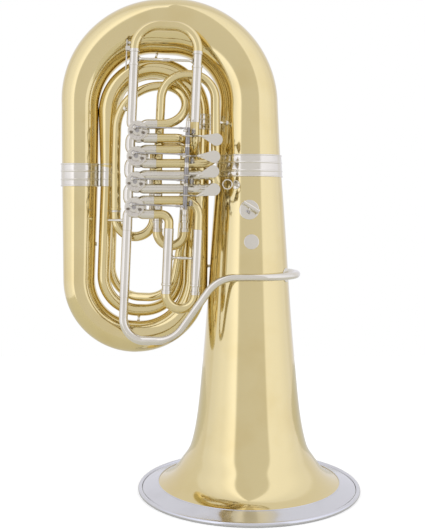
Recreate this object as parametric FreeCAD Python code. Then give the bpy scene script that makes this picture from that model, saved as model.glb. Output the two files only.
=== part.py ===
import FreeCAD, Part
import math
import os

# Four-rotor bass tuba standing on its bell. Millimetres.
# Origin: bell axis at the rim plane. +Z up, valves on the -Y side, branches towards -X.

# bell
rim_radius = 225.0
rim_wire_radius = 4.5
rim_land = 0.4
bell_wall = 0.8
bell_top = 655.0
# outside of the flare, as (height, radius)
bell_flare = [
    (5.6, rim_radius - 9.8), (10.6, rim_radius - 25.0), (16.6, 182.5), (26.0, 165.0), (39.0, 150.0), (59.0, 135.0),
    (79.0, 121.6), (99.5, 114.5), (140.0, 106.3), (222.0, 97.1), (304.0, 89.9),
    (426.0, 81.3), (508.0, 76.2), (590.0, 70.5), (655.0, 65.7),
]
garland_inner_radius = 182.5
garland_wall = 0.7
solder_gap = 0.12

# large branches
branch_wall = 0.9
bow_top = 940.4
bow_span = 344.0
bow_corner = 160.0
bow_radii = [65.4, 59.6, 57.2, 55.6, 37.6, 36.8]
branch_joint = 637.0
branch_left_foot = -347.4
branch_bottom = 308.8
branch_corner = 116.0
branch_right_foot = -113.0
branch_right_top = -102.4
branch_top_joint = 745.0
branch_radii = [36.7, 32.2, 32.0, 31.6, 25.2, 23.7]
second_top = 856.7
second_left_top = -285.5
second_corner = 92.0
second_top_radii = [23.6, 23.4, 20.6, 20.2, 15.0, 14.4]
second_joint = 637.0
second_left_foot = -299.2
second_bottom = 361.0
second_right_foot = -148.5
second_right_y = 18.0
second_bottom_radii = [14.2, 12.9, 12.3, 12.2, 11.2, 9.4]
third_top = 845.6
third_left_top = -271.5
third_left_foot = -285.6
third_right_top = -116.3
third_y_left = 27.0
third_joint = 590.0
third_right_joint = 755.0
third_y_right = 37.0
third_bottom = 388.1
third_right_foot = -157.6
third_right_y = -10.0
third_radius = 8.8
ferrule_wall = 1.5
ferrule_bead = 1.1
small_ferrule_wall = 1.0
small_ferrule_bead = 0.6

# valve section
section_tilt = 2.4
section_centre = FreeCAD.Vector(-222.15, -78.0, 646.4)
valve_pitch = 49.6
casing_radius = 19.0
casing_wall = 1.55
casing_front = -17.0
casing_back = 17.0
casing_face = 3.0
rotor_length = 26.0
rotor_clearance = 0.05
passage_radius = 6.4
stem_radius = 4.0
bearing_thick = 2.8
rear_cap_wall = 1.6
port_offset = 13.5
port_bend = 10.0
port_length = 38.0
airway_x = -13.5

# valve tubing: a fixed tube is soldered into a sleeve, an inner leg runs in the sleeve
tube_radius = 8.95
tube_wall = 0.6
sleeve_radius = 9.75
sleeve_inner = 9.05
leg_clearance = 0.05
leg_wall = 0.6
bow_tube_radius = 9.65
bow_tube_wall = 0.53
socket_depth = 6.0

# main tuning slide, in the section's own frame
main_span = 123.4
main_mouth = 207.0
main_bow_foot = main_mouth + 22.0
main_top = main_bow_foot + 54.0
main_corner = 47.0
main_leg_insert = 75.0
main_right_foot = 96.0
main_brace_height = main_bow_foot - 13.0
water_key_height = main_bow_foot + 17.0

# valve slides
slide1_span = 57.0
slide1_left = -159.2
slide1_height = 527.7
slide1_sleeve_top = 531.0
slide1_sleeve_length = 112.0
slide1_exposed = 9.0
slide1_insert = 70.0
slide2_mouth = -97.0
slide2_bow = -88.0
slide2_insert = 60.0
slide3_y = -56.0
slide3_left = -182.6
slide3_span = 53.4
slide3_height = 523.0
slide3_sleeve_top = 605.0
slide3_mouth = 541.0
slide3_insert = 36.0
slide4_y = -34.0
slide4_left = -267.3
slide4_span = 76.2
slide4_height = 551.4
slide4_sleeve_top = 640.0
slide4_mouth = 566.0
slide4_insert = 45.0

# valve action, in the section's own frame
axle_x = 97.8
axle_y = -18.0
axle_radius = 2.5
axle_low = -84.0
axle_high = 94.0
hub_radius = 4.5
hub_clearance = 0.05
hub_gap = 0.5
paddle_swing = 22.0
lever_length = 25.0
crank_length = 2.0 * lever_length * math.sin(math.radians(paddle_swing / 2)) / math.sqrt(2.0)
link_y = -30.0
link_radius = 1.6
pin_radius = 1.5
eye_play = 0.5
link_eye_play = 0.8
stop_arm_thick = 3.0
stop_arm_gap = 1.5
# for valves one to four: hub foot, hub head, arm height, plate x, plate height
paddles = [
    (-77.5, -26.8, -46.8, 152.8, -33.9),
    (-26.3, 9.3, -9.2, 149.4, 0.3),
    (13.3, 48.4, 24.5, 150.1, 28.6),
    (48.9, 86.5, 66.9, 153.5, 61.5),
]
plate_radius = 12.0
plate_tail_radius = 3.0
plate_thick = 1.8
plate_y = -39.0
arm_radius = 2.2

# leadpipe
lead_wrap_radius = 98.0
lead_height = 436.0
lead_radii = [6.8, 7.0, 7.0, 7.0, 7.4, 7.4, 8.0, 8.0, 8.6, 8.6, 8.95]
lead_wall = 0.6
receiver_radius = 8.6
receiver_bore = 6.6
receiver_length = 58.0


def vec(x, y, z):
    return FreeCAD.Vector(x, y, z)


def unit(a):
    return a / a.Length


def lean(x, y, z):
    """Section frame to the instrument's frame."""
    turn = math.radians(section_tilt)
    c, s = math.cos(turn), math.sin(turn)
    return section_centre + vec(x * c + z * s, y, z * c - x * s)


def placed(shape):
    shape = shape.copy()
    shape.rotate(vec(0, 0, 0), vec(0, 1, 0), section_tilt)
    shape.translate(section_centre)
    return shape


section_up = lean(0, 0, 1) - lean(0, 0, 0)


def route(points, bends):
    """Straight runs joined by tangent arcs: one bend radius for each inner point."""
    legs = []
    here = points[0]
    for i, bend in enumerate(bends):
        corner = points[i + 1]
        u = unit(corner - points[i])
        w = unit(points[i + 2] - corner)
        angle = u.getAngle(w)
        back = bend * math.tan(angle / 2)
        start = corner - u * back
        normal = unit(u.cross(w))
        centre = start + unit(normal.cross(u)) * bend
        if (start - here).Length > 0.01:
            legs.append(("run", here, start))
        legs.append(("bend", start, centre, normal, math.degrees(angle), u))
        here = corner + w * back
    if (points[-1] - here).Length > 0.01:
        legs.append(("run", here, points[-1]))
    return legs


def disc(at, along, radius):
    return Part.Face(Part.Wire(Part.makeCircle(radius, at, along)))


def joined(pieces):
    if len(pieces) == 1:
        return pieces[0]
    return pieces[0].multiFuse(pieces[1:]).removeSplitter()


def rod(legs, radius):
    """Round bar of one radius along a route."""
    pieces = []
    for leg in legs:
        if leg[0] == "run":
            pieces.append(disc(leg[1], leg[2] - leg[1], radius).extrude(leg[2] - leg[1]))
        else:
            pieces.append(disc(leg[1], leg[5], radius).revolve(leg[2], leg[3], leg[4]))
    return joined(pieces)


def pipe(legs, outer, wall):
    """Tube of one radius along a route."""
    pieces = []
    for leg in legs:
        along = leg[2] - leg[1] if leg[0] == "run" else leg[5]
        ring = disc(leg[1], along, outer).cut(disc(leg[1], along, outer - wall))
        if leg[0] == "run":
            pieces.append(ring.extrude(along))
        else:
            pieces.append(ring.revolve(leg[2], leg[3], leg[4]))
    return joined(pieces)


def taper_solid(leg, r0, r1):
    """Filled taper along one leg of a route."""
    if leg[0] == "bend" and abs(r0 - r1) < 0.01:
        return disc(leg[1], leg[5], r0).revolve(leg[2], leg[3], leg[4])
    if leg[0] == "run":
        along = leg[2] - leg[1]
        if abs(r0 - r1) < 0.01:
            return Part.makeCylinder(r0, along.Length, leg[1], along)
        return Part.makeCone(r0, r1, along.Length, leg[1], along)
    start, centre, normal, angle, heading = leg[1:]
    steps = max(3, int(math.ceil(angle / 18.0)))
    rings = []
    for i in range(steps + 1):
        share = i / steps
        turn = FreeCAD.Rotation(normal, angle * share)
        at = centre + turn.multVec(start - centre)
        radius = r0 + (r1 - r0) * share
        rings.append(Part.Wire(Part.makeCircle(radius, at, turn.multVec(heading))))
    return Part.makeLoft(rings, True, False)


def taper_pipe(legs, radii, wall):
    """Tapered tube: radii holds the outside radius at each leg's ends."""
    pieces = []
    for leg, r0, r1 in zip(legs, radii, radii[1:]):
        pieces.append(taper_solid(leg, r0, r1).cut(taper_solid(leg, r0 - wall, r1 - wall)))
    return joined(pieces)


def fat(legs, radii):
    """A tube's filled outside, a solder gap larger, for trimming what seats on it."""
    g = solder_gap
    return [taper_solid(leg, r0 + g, r1 + g) for leg, r0, r1 in zip(legs, radii, radii[1:])]


def even(legs, radius):
    return [radius] * (len(legs) + 1)


def ferrule(foot, head, r_foot, r_head, w=ferrule_wall, b=ferrule_bead):
    """Ribbed sleeve over a tapered joint."""
    along = head - foot
    height = along.Length
    g = solder_gap

    def edge(z):
        return r_foot + (r_head - r_foot) * z / height

    n = 3.2
    outline = [
        (edge(0) + g, 0), (edge(0) + w + b, 0), (edge(n) + w + b, n), (edge(n) + w, n + 0.6),
        (edge(height - n) + w, height - n - 0.6), (edge(height - n) + w + b, height - n),
        (edge(height) + w + b, height), (edge(height) + g, height),
    ]
    ring = turned(outline)
    ring.Placement = FreeCAD.Placement(foot, FreeCAD.Rotation(vec(0, 0, 1), along))
    return ring


def turned(outline):
    """Solid of revolution about Z from (radius, height) corners."""
    points = [vec(r, 0, z) for r, z in outline]
    face = Part.Face(Part.makePolygon(points + points[:1]))
    return face.revolve(vec(0, 0, 0), vec(0, 0, 1), 360)


def bell_radius(height):
    for (z0, r0), (z1, r1) in zip(bell_flare, bell_flare[1:]):
        if height <= z1:
            return r0 + (r1 - r0) * (height - z0) / (z1 - z0)
    return bell_flare[-1][1]


nodes = {}

# bell: a spun flare with a wired rim, wearing a garland
outer_points = [vec(r, 0, z) for z, r in bell_flare]
outer_curve = Part.BSplineCurve()
outer_curve.interpolate(outer_points)


def offset_points(distance):
    """The flare's points moved square to the surface, outwards when positive."""
    moved = []
    for p in outer_points:
        t = outer_curve.tangent(outer_curve.parameter(p))[0]
        moved.append(p + unit(vec(t.z, 0, -t.x)) * distance)
    return moved


def flare_shell(low, high):
    """Shell of the flare between two offsets from its outside."""
    sides = []
    for distance in (low, high):
        curve = Part.BSplineCurve()
        curve.interpolate(offset_points(distance))
        sides.append((curve, curve.StartPoint, curve.EndPoint))
    edges = [
        sides[0][0].toShape(), Part.makeLine(sides[0][2], sides[1][2]),
        sides[1][0].toShape(), Part.makeLine(sides[1][1], sides[0][1]),
    ]
    face = Part.Face(Part.Wire(Part.__sortEdges__(edges)))
    return face.revolve(vec(0, 0, 0), vec(0, 0, 1), 360)


nodes["bell"] = flare_shell(-bell_wall, 0.0)

garland_zone = turned([
    (garland_inner_radius, 0.0), (rim_radius, 0.0), (rim_radius, 40.0), (garland_inner_radius, 40.0)
])
garland_sheet = flare_shell(solder_gap, solder_gap + garland_wall).common(garland_zone)
wire_centre = rim_wire_radius - rim_land
rim_wire = Part.makeTorus(rim_radius - rim_wire_radius, rim_wire_radius)
rim_wire.translate(vec(0, 0, wire_centre))
under_rim = Part.makeCylinder(rim_radius + 10, 20, vec(0, 0, -20))
rim_wire = rim_wire.cut(under_rim).cut(flare_shell(-bell_wall - 3.0, solder_gap))
nodes["bell_garland"] = joined([rim_wire, garland_sheet])

# big bow from the bell to the outer branch
joint_gap = 0.9
bow_route = route(
    [vec(0, 0, bell_top + joint_gap), vec(0, 0, bow_top), vec(-bow_span, 0, bow_top),
     vec(-bow_span, 0, branch_joint + joint_gap)],
    [bow_corner, bow_corner],
)
nodes["big_bow"] = taper_pipe(bow_route, bow_radii, branch_wall)
bell_ferrule_foot = bell_top - 22.5
bell_ferrule_head = bell_top + 22.5
bow_slope = (bow_radii[0] - bow_radii[1]) / (bow_top - bow_corner - bell_top)
nodes["bell_ferrule"] = ferrule(
    vec(0, 0, bell_ferrule_foot), vec(0, 0, bell_ferrule_head),
    bell_radius(bell_ferrule_foot) + 0.1, bow_radii[0] - 22.5 * bow_slope + 0.25,
)

# outer branch: down the left, round the bottom bow and up the right
branch_foot_left = vec(branch_left_foot, 0, branch_bottom)
branch_foot_right = vec(branch_right_foot + 1.6, 0, branch_bottom)
branch_route = route(
    [vec(-bow_span, 0, branch_joint), branch_foot_left, branch_foot_right,
     vec(branch_right_top, 0, branch_top_joint)],
    [branch_corner, branch_corner],
)
nodes["outer_branch"] = taper_pipe(branch_route, branch_radii, branch_wall)
nodes["outer_branch_ferrule"] = ferrule(
    vec(-bow_span - 0.3, 0, branch_joint - 23.0), vec(-bow_span, 0, branch_joint + 24.0),
    bow_radii[-1] + 0.05, bow_radii[-1] + 0.35,
)

# second branch, top
second_route = route(
    [vec(branch_right_top, 0, branch_top_joint + joint_gap), vec(branch_right_top, 0, second_top),
     vec(second_left_top, 0, second_top),
     vec(second_left_top - 2.2, 0, second_joint + joint_gap)],
    [second_corner, second_corner],
)
nodes["second_top_bow"] = taper_pipe(second_route, second_top_radii, branch_wall)
nodes["upper_branch_ferrule"] = ferrule(
    vec(branch_right_top - 0.2, 0, branch_top_joint - 16.0),
    vec(branch_right_top, 0, branch_top_joint + 16.0),
    branch_radii[-1] + 0.15, second_top_radii[0] + 0.1,
)

# second branch, bottom, rising on the right to the third top bow
second_foot = vec(second_right_foot, second_right_y, second_bottom)
rise_head = vec(third_right_top, third_y_right, third_right_joint)
rise_way = unit(rise_head - second_foot)
second_bottom_route = route(
    [vec(second_left_top - 2.2, 0, second_joint), vec(second_left_foot, 0, second_bottom),
     second_foot, rise_head],
    [72.0, 72.0],
)
nodes["second_branch"] = taper_pipe(second_bottom_route, second_bottom_radii, branch_wall)
nodes["second_branch_ferrule"] = ferrule(
    vec(second_left_top - 2.9, 0, second_joint - 23.0),
    vec(second_left_top - 2.0, 0, second_joint + 24.0),
    second_top_radii[-1] + 0.1, second_top_radii[-1] + 0.35,
    small_ferrule_wall, small_ferrule_bead,
)

# third branch: small tube inside the other two
rise_knee = rise_head + rise_way * 20.0
third_route = route(
    [rise_head + rise_way * joint_gap, rise_knee,
     vec(rise_knee.x, rise_knee.y, third_top),
     vec(third_left_top, third_y_left, third_top),
     vec(third_left_top - 7.6, third_y_left, third_joint + joint_gap)],
    [60.0, 66.0, 74.0],
)
nodes["third_top_bow"] = pipe(third_route, third_radius, tube_wall)
receiver_knee = lean(airway_x + main_span, 0, 58.0)
receiver_turn = vec(-109.5, -37.0, 650.0)
third_foot = vec(third_right_foot, third_right_y, third_bottom)
receiver_fall = unit(receiver_turn - third_foot)
receiver_end = receiver_turn - receiver_fall * 24.0
third_bottom_route = route(
    [vec(third_left_top - 7.6, third_y_left, third_joint),
     vec(third_left_foot, third_y_left, third_bottom),
     third_foot,
     receiver_end - receiver_fall * joint_gap],
    [62.0, 62.0],
)
nodes["third_bottom_bow"] = pipe(third_bottom_route, third_radius, tube_wall)
third_ferrules = [
    ferrule(vec(third_left_top - 8.0, third_y_left, third_joint - 13.0),
            vec(third_left_top - 7.2, third_y_left, third_joint + 13.0),
            third_radius + 0.15, third_radius + 0.15, small_ferrule_wall, small_ferrule_bead),
    ferrule(rise_head - rise_way * 12.0, rise_head + rise_way * 12.0,
            second_bottom_radii[-1] + 0.1, second_bottom_radii[-1] + 0.1,
            small_ferrule_wall, small_ferrule_bead),
]
nodes["third_branch_ferrules"] = Part.makeCompound(third_ferrules)


# valves: four casings on one leaning line, joined by knuckles on the airway side
section_y = section_centre.y
back = vec(0, 1, 0)
valve_heights = [(k - 1.5) * valve_pitch for k in range(4)]
valve_centres = [lean(0, 0, h) for h in valve_heights]


def radial(degrees):
    turn = math.radians(degrees - section_tilt)
    return vec(math.cos(turn), 0, math.sin(turn))


def round_y(centre, radius, y0, y1):
    return Part.makeCylinder(radius, y1 - y0, vec(centre.x, section_y + y0, centre.z), back)


def port(centre, degrees, corner_offset, far):
    """Route out of a casing: square through the wall, then one tight bend."""
    out = radial(degrees)
    corner = centre + out * corner_offset
    return route([centre + out * 12.0, corner, far], [port_bend])


bearing_foot = casing_back - bearing_thick - 1.2
casing_bore = casing_radius - casing_wall
casings = []
for c in valve_centres:
    shell = round_y(c, casing_radius, casing_front, casing_back)
    shell = shell.cut(round_y(c, casing_bore, casing_front + casing_face, casing_back))
    shell = shell.cut(round_y(c, stem_radius + rotor_clearance, casing_front, casing_back))
    for degrees in (45, 135, 225, 315):
        shell = shell.cut(Part.makeCylinder(7.6, 24.0, c, radial(degrees)))
    bearing = round_y(c, casing_bore - 0.05, bearing_foot, bearing_foot + bearing_thick)
    bearing = bearing.cut(round_y(c, stem_radius + rotor_clearance, bearing_foot, casing_back))
    casings += [shell, bearing]
nodes["valve_casings"] = Part.makeCompound(casings)
casing_space = [
    round_y(c, casing_radius + 0.05, casing_front - 30, casing_back + 30) for c in valve_centres
]

rotor_radius = casing_bore - rotor_clearance
rotor_front = casing_front + casing_face + 0.4
rotor_back = rotor_front + rotor_length
stop_arm_front = casing_front - stop_arm_gap - stop_arm_thick
pin_swing = math.radians(45.0)
for k, c in enumerate(valve_centres):
    body = round_y(c, rotor_radius, rotor_front, rotor_back)
    for side in (0, 180):
        middle = c + radial(side) * (rotor_radius * math.sqrt(2.0))
        body = body.cut(Part.makeTorus(rotor_radius, passage_radius, middle, back))
    stem = round_y(c, stem_radius, stop_arm_front, bearing_foot + bearing_thick)
    nodes["rotor_%d" % (k + 1)] = body.fuse(stem).removeSplitter()

    def at(x, z, y0, y1, radius):
        shape = Part.makeCylinder(radius, y1 - y0, vec(x, y0, valve_heights[k] + z), back)
        return placed(shape)

    pin_x = -crank_length * math.sin(pin_swing)
    pin_z = crank_length * math.cos(pin_swing)
    arm = at(0, 0, stop_arm_front, stop_arm_front + stop_arm_thick, 9.2)
    ear = placed(Part.makeBox(
        5.0, stop_arm_thick, 14.5, vec(-2.5, stop_arm_front, -14.5)
    ).rotated(vec(0, 0, 0), vec(0, 1, 0), -45.0).translated(vec(0, 0, valve_heights[k])))
    pin = at(pin_x, pin_z, link_y - 3.2, stop_arm_front + 1.0, pin_radius)
    head = at(pin_x, pin_z, link_y - 3.2, link_y - 2.0, 2.7)
    arm = arm.fuse([ear, pin, head])
    arm = arm.cut(at(0, 0, casing_front - 20, 0, stem_radius + 0.1))
    screw = at(0, 0, stop_arm_front - 2.4, stop_arm_front - 0.05, 4.3)
    slot = placed(Part.makeBox(
        12.0, 1.0, 1.0, vec(-6.0, stop_arm_front - 2.5, valve_heights[k] - 0.5)
    ))
    nodes["stop_arm_%d" % (k + 1)] = Part.makeCompound([arm.removeSplitter(), screw.cut(slot)])

caps = []
corks = []
for c in valve_centres:
    outer = round_y(c, casing_radius + 0.1 + rear_cap_wall, casing_back - 5.5, casing_back + 3.4)
    grip = round_y(c, casing_radius + 0.1 + rear_cap_wall + 0.9, casing_back - 1.5, casing_back + 1.5)
    boss = round_y(c, 7.0, casing_back + 3.0, casing_back + 4.6)
    hollow = round_y(c, casing_radius + 0.1, casing_back - 6, casing_back + 0.1)
    recess = round_y(c, casing_bore - 1.5, casing_back, casing_back + 1.6)
    caps.append(outer.fuse([grip, boss]).cut(hollow).cut(recess).removeSplitter())
    for side in (-73.0, 73.0):
        spot = c + radial(-90 + side) * 12.6
        corks.append(round_y(spot, 2.6, casing_front - 5.0, casing_front))
nodes["rear_caps"] = Part.makeCompound(caps)
nodes["stop_corks"] = Part.makeCompound(corks)

knuckles = []
for low, high in zip(valve_centres, valve_centres[1:]):
    start = low + radial(135) * 15.2
    end = high + radial(225) * 15.2
    chord = (end - start).Length
    bend = chord / math.sqrt(2.0)
    corner = start + radial(135) * bend
    legs = route([low + radial(135) * 13.0, corner, high + radial(225) * 13.0], [bend])
    knuckles.append(pipe(legs, sleeve_radius, 0.8).cut(casing_space))

down = section_up * -1
corner_left = port_offset * math.sqrt(2.0)
upper_sleeve_wall = sleeve_radius - sleeve_inner


def sideways(centre, offset, x_far):
    """Nickel port running level to +X, its line offset above or below the valve."""
    degrees = 45 if offset > 0 else -45
    out = radial(degrees)
    reach = offset / out.z
    far = vec(x_far, section_y, centre.z + offset)
    return port(centre, degrees, reach, far)


v1, v2, v3, v4 = valve_centres
port_ends = {}
for name, c in (("v1", v1), ("v3", v3), ("v4", v4)):
    for offset in (port_offset, -port_offset):
        legs = sideways(c, offset, c.x + port_length)
        knuckles.append(pipe(legs, sleeve_radius, upper_sleeve_wall).cut(casing_space))
        port_ends[name, offset > 0] = vec(c.x + port_length - 8.0, section_y, c.z + offset)

lead_socket = v1 + (lean(airway_x, 0, -45.0) - lean(0, 0, 0))
knuckles.append(pipe(port(v1, 225, corner_left, lead_socket), sleeve_radius, upper_sleeve_wall)
                .cut(casing_space))
nodes["valve_knuckles"] = Part.makeCompound(knuckles)


def slide(mouths, away, sleeve_tops, exposed, insert, depth, corner):
    """Sleeves, running legs and bow of a two-legged slide that draws towards away."""
    sleeves = []
    legs = []
    feet = []
    for mouth, top in zip(mouths, sleeve_tops):
        if top is not None:
            sleeves.append(pipe([("run", top, mouth)], sleeve_radius, upper_sleeve_wall))
        foot = mouth + away * exposed
        legs.append(pipe([("run", mouth - away * insert, foot + away * socket_depth)],
                         sleeve_inner - leg_clearance, leg_wall))
        feet.append(foot)
    path = route([feet[0], feet[0] + away * depth, feet[1] + away * depth, feet[1]],
                 [corner, corner])
    return sleeves, legs, pipe(path, bow_tube_radius, bow_tube_wall), path


# main tuning slide, drawn upwards
main_x = [airway_x, airway_x + main_span]
main_mouths = [lean(x, 0, main_mouth) for x in main_x]
main_tops = [None, lean(main_x[1], 0, main_right_foot)]
main_exposed = main_bow_foot - main_mouth
main_sleeves, main_legs, main_bow, main_path = slide(
    main_mouths, section_up, main_tops, main_exposed, main_leg_insert,
    main_top - main_bow_foot, main_corner
)
left_sleeve_route = port(v4, 135, corner_left, main_mouths[0])
main_sleeves.append(pipe(left_sleeve_route, sleeve_radius, upper_sleeve_wall).cut(casing_space))
nodes["main_slide_sleeves"] = Part.makeCompound(main_sleeves)
brace_ends = [lean(x, 0, main_brace_height) for x in main_x]
brace = rod([("run", brace_ends[0], brace_ends[1])], 2.4)
brace_mid = (brace_ends[0] + brace_ends[1]) * 0.5
across = unit(brace_ends[1] - brace_ends[0])
brace = brace.fuse([
    Part.makeCylinder(3.6, 16.0, brace_mid - across * 8.0, across),
    Part.makeCylinder(6.2, 7.0, brace_ends[0] + across * 6.0, across),
    Part.makeCylinder(6.2, 7.0, brace_ends[1] - across * 6.0, across * -1),
])
leg_space = [
    Part.makeCylinder(sleeve_inner - leg_clearance + solder_gap, 60, e - section_up * 30, section_up)
    for e in brace_ends
]
nodes["main_slide_legs"] = Part.makeCompound(main_legs + [brace.cut(leg_space).removeSplitter()])

# water key on the main slide bow
key_x = airway_x - bow_tube_radius
key_pivot = vec(key_x - 4.6, 0, main_bow_foot + 6.0)
nipple = Part.makeCylinder(3.0, 9.0, vec(key_x - 3.0, 0, water_key_height), vec(1, 0, 0))
nipple = nipple.cut(Part.makeCylinder(1.6, 30.0, vec(key_x - 10, 0, water_key_height), vec(1, 0, 0)))
bow_hole = placed(Part.makeCylinder(1.6, 9.0, vec(key_x - 2, 0, water_key_height), vec(1, 0, 0)))
bow_space = fat(main_path, even(main_path, bow_tube_radius))
nodes["main_slide_bow"] = main_bow.cut(bow_hole)
lugs = Part.makeBox(9.0, 13.0, 8.0, vec(key_pivot.x - 3.0, -6.5, key_pivot.z - 4.0))
lugs = lugs.cut(Part.makeBox(7.6, 8.0, 9.0, vec(key_pivot.x - 3.5, -4.0, key_pivot.z - 4.5)))
key_pin = Part.makeCylinder(1.2, 13.0, key_pivot - vec(0, 6.5, 0), back)
saddle = placed(lugs.fuse(key_pin)).cut(bow_space)
nodes["water_key_saddle"] = Part.makeCompound([
    saddle.removeSplitter(), placed(nipple).cut(bow_space)
])
key_bar = Part.makeCylinder(2.6, 7.0, key_pivot - vec(0, 3.5, 0), back)
key_arm_top = Part.makeBox(2.2, 4.4, 18.0, vec(key_pivot.x - 2.3, -2.2, key_pivot.z - 1.0))
key_arm_low = Part.makeBox(2.2, 4.4, 34.0, vec(key_pivot.x - 2.3, -2.2, key_pivot.z - 35.0))
key_touch = Part.makeCylinder(5.0, 1.8, vec(key_pivot.x - 2.3, 0, key_pivot.z - 38.0), vec(1, 0, 0))
key_cup = Part.makeCylinder(4.0, 2.4, vec(key_pivot.x - 2.3, 0, water_key_height), vec(1, 0, 0))
key_body = key_bar.fuse([key_arm_top, key_arm_low, key_touch, key_cup])
key_body = key_body.cut(Part.makeCylinder(1.25, 20.0, key_pivot - vec(0, 10, 0), back))
nodes["water_key"] = placed(key_body.removeSplitter())
nodes["water_key_cork"] = placed(Part.makeCylinder(
    3.4, key_x - 3.0 - 0.05 - (key_pivot.x + 0.15), vec(key_pivot.x + 0.1, 0, water_key_height), vec(1, 0, 0)
))

# receiver below the slide's right sleeve, stepping back to the third branch
receiver_route = route(
    [lean(main_x[1], 0, main_right_foot + 8.0), receiver_knee, receiver_turn, receiver_end],
    [26.0, 26.0],
)
nodes["main_slide_receiver"] = pipe(receiver_route, tube_radius, tube_wall)

# first valve slide, hanging below the valves
slide1_right = slide1_left + slide1_span / math.cos(math.radians(section_tilt))


def slide1_line(x_ref, z):
    return vec(x_ref + section_up.x / section_up.z * (z - slide1_height), section_y, z)


def square_to(point, line_ref):
    """Point of the second slide line level, square to the slide, with the first."""
    foot = slide1_line(line_ref, point.z)
    return foot + section_up * (point - foot).dot(section_up)


top1_left = slide1_line(slide1_left, slide1_sleeve_top)
tops1 = [top1_left, square_to(top1_left, slide1_right)]
mouths1 = [t + down * slide1_sleeve_length for t in tops1]
half1 = (tops1[1] - tops1[0]).Length / 2
sleeves1, legs1, bow1, path1 = slide(
    mouths1, down, tops1, slide1_exposed, slide1_insert, half1 + 7.0, half1
)
valve1_upper = route(
    [port_ends["v1", True], slide1_line(slide1_right, v1.z + port_offset), tops1[1] + down * 8.0],
    [30.0],
)
valve1_lower = route(
    [port_ends["v1", False], slide1_line(slide1_left, v1.z - port_offset), tops1[0] + down * 8.0],
    [17.0],
)
nodes["valve1_tubes"] = Part.makeCompound([
    pipe(valve1_upper, tube_radius, tube_wall), pipe(valve1_lower, tube_radius, tube_wall)
])

# second valve slide, short and level
ports2 = [sideways(v2, offset, slide2_mouth) for offset in (port_offset, -port_offset)]
mouths2 = [vec(slide2_mouth, section_y, v2.z + offset) for offset in (port_offset, -port_offset)]
sleeves2 = [pipe(legs, sleeve_radius, upper_sleeve_wall).cut(casing_space) for legs in ports2]
more2, legs2, bow2, path2 = slide(
    mouths2, vec(1, 0, 0), [None, None], slide2_bow - slide2_mouth, slide2_insert,
    port_offset + 7.0, port_offset
)

# third valve slide, behind the others, with the high arch back to the valve
s3l = vec(slide3_left, slide3_y, slide3_sleeve_top)
s3r = vec(slide3_left + slide3_span, slide3_y, slide3_sleeve_top)
fall = vec(0, 0, -1)
mouths3 = [vec(p.x, p.y, slide3_mouth) for p in (s3l, s3r)]
sleeves3, legs3, bow3, path3 = slide(
    mouths3, fall, [s3l, s3r], slide3_mouth - slide3_height - 7.0, slide3_insert,
    slide3_span / 2 + 7.0, slide3_span / 2
)
arch_top = 834.7
arch_left = -173.3
arch_right = -68.5
valve3_upper = route(
    [port_ends["v3", True], vec(s3r.x, section_y, v3.z + port_offset),
     vec(s3r.x, slide3_y, v3.z + port_offset), s3r + fall * 8.0],
    [10.8, 10.8],
)
valve3_lower = route(
    [port_ends["v3", False], vec(arch_right, section_y, v3.z - port_offset),
     vec(arch_right, slide3_y - 1.0, 775.0), vec(arch_right, slide3_y, arch_top),
     vec(arch_left, slide3_y, arch_top), vec(s3l.x, slide3_y, 640.0), s3l + fall * 8.0],
    [24.0, 60.0, 50.0, 50.0, 100.0],
)
nodes["valve3_tubes"] = Part.makeCompound([
    pipe(valve3_upper, tube_radius, tube_wall), pipe(valve3_lower, tube_radius, tube_wall)
])

# fourth valve slide, furthest back, reached by a half turn and a long quarter turn
s4l = vec(slide4_left, slide4_y, slide4_sleeve_top)
s4r = vec(slide4_left + slide4_span, slide4_y, slide4_sleeve_top)
mouths4 = [vec(p.x, p.y, slide4_mouth) for p in (s4l, s4r)]
sleeves4, legs4, bow4, path4 = slide(
    mouths4, fall, [s4l, s4r], slide4_mouth - slide4_height - 7.0, slide4_insert,
    slide4_span / 2 + 7.0, slide4_span / 2
)
turn_x = -173.0
turn_top = 815.1
rise = vec(0, slide4_y - section_y, turn_top - (v4.z + port_offset))
half_turn = rise.Length / 2
valve4_upper = route(
    [port_ends["v4", True], vec(turn_x + half_turn, section_y, v4.z + port_offset),
     vec(turn_x + half_turn, slide4_y, turn_top), vec(-263.0, slide4_y, turn_top),
     vec(slide4_left, slide4_y, 670.0), s4l + fall * 8.0],
    [half_turn, half_turn, 88.0, 100.0],
)
valve4_lower = route(
    [port_ends["v4", False], vec(-129.5, section_y, v4.z - port_offset),
     vec(-129.5, slide4_y, 699.0), vec(s4r.x, slide4_y, 695.0), s4r + fall * 8.0],
    [20.0, 20.0, 22.0],
)
nodes["valve4_tubes"] = Part.makeCompound([
    pipe(valve4_upper, tube_radius, tube_wall), pipe(valve4_lower, tube_radius, tube_wall)
])

nodes["valve_slide_sleeves"] = Part.makeCompound(sleeves1 + sleeves2 + sleeves3 + sleeves4)
for k, (legs, bow) in enumerate([(legs1, bow1), (legs2, bow2), (legs3, bow3), (legs4, bow4)]):
    nodes["valve%d_slide_legs" % (k + 1)] = Part.makeCompound(legs)
    nodes["valve%d_slide_bow" % (k + 1)] = bow

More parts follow.
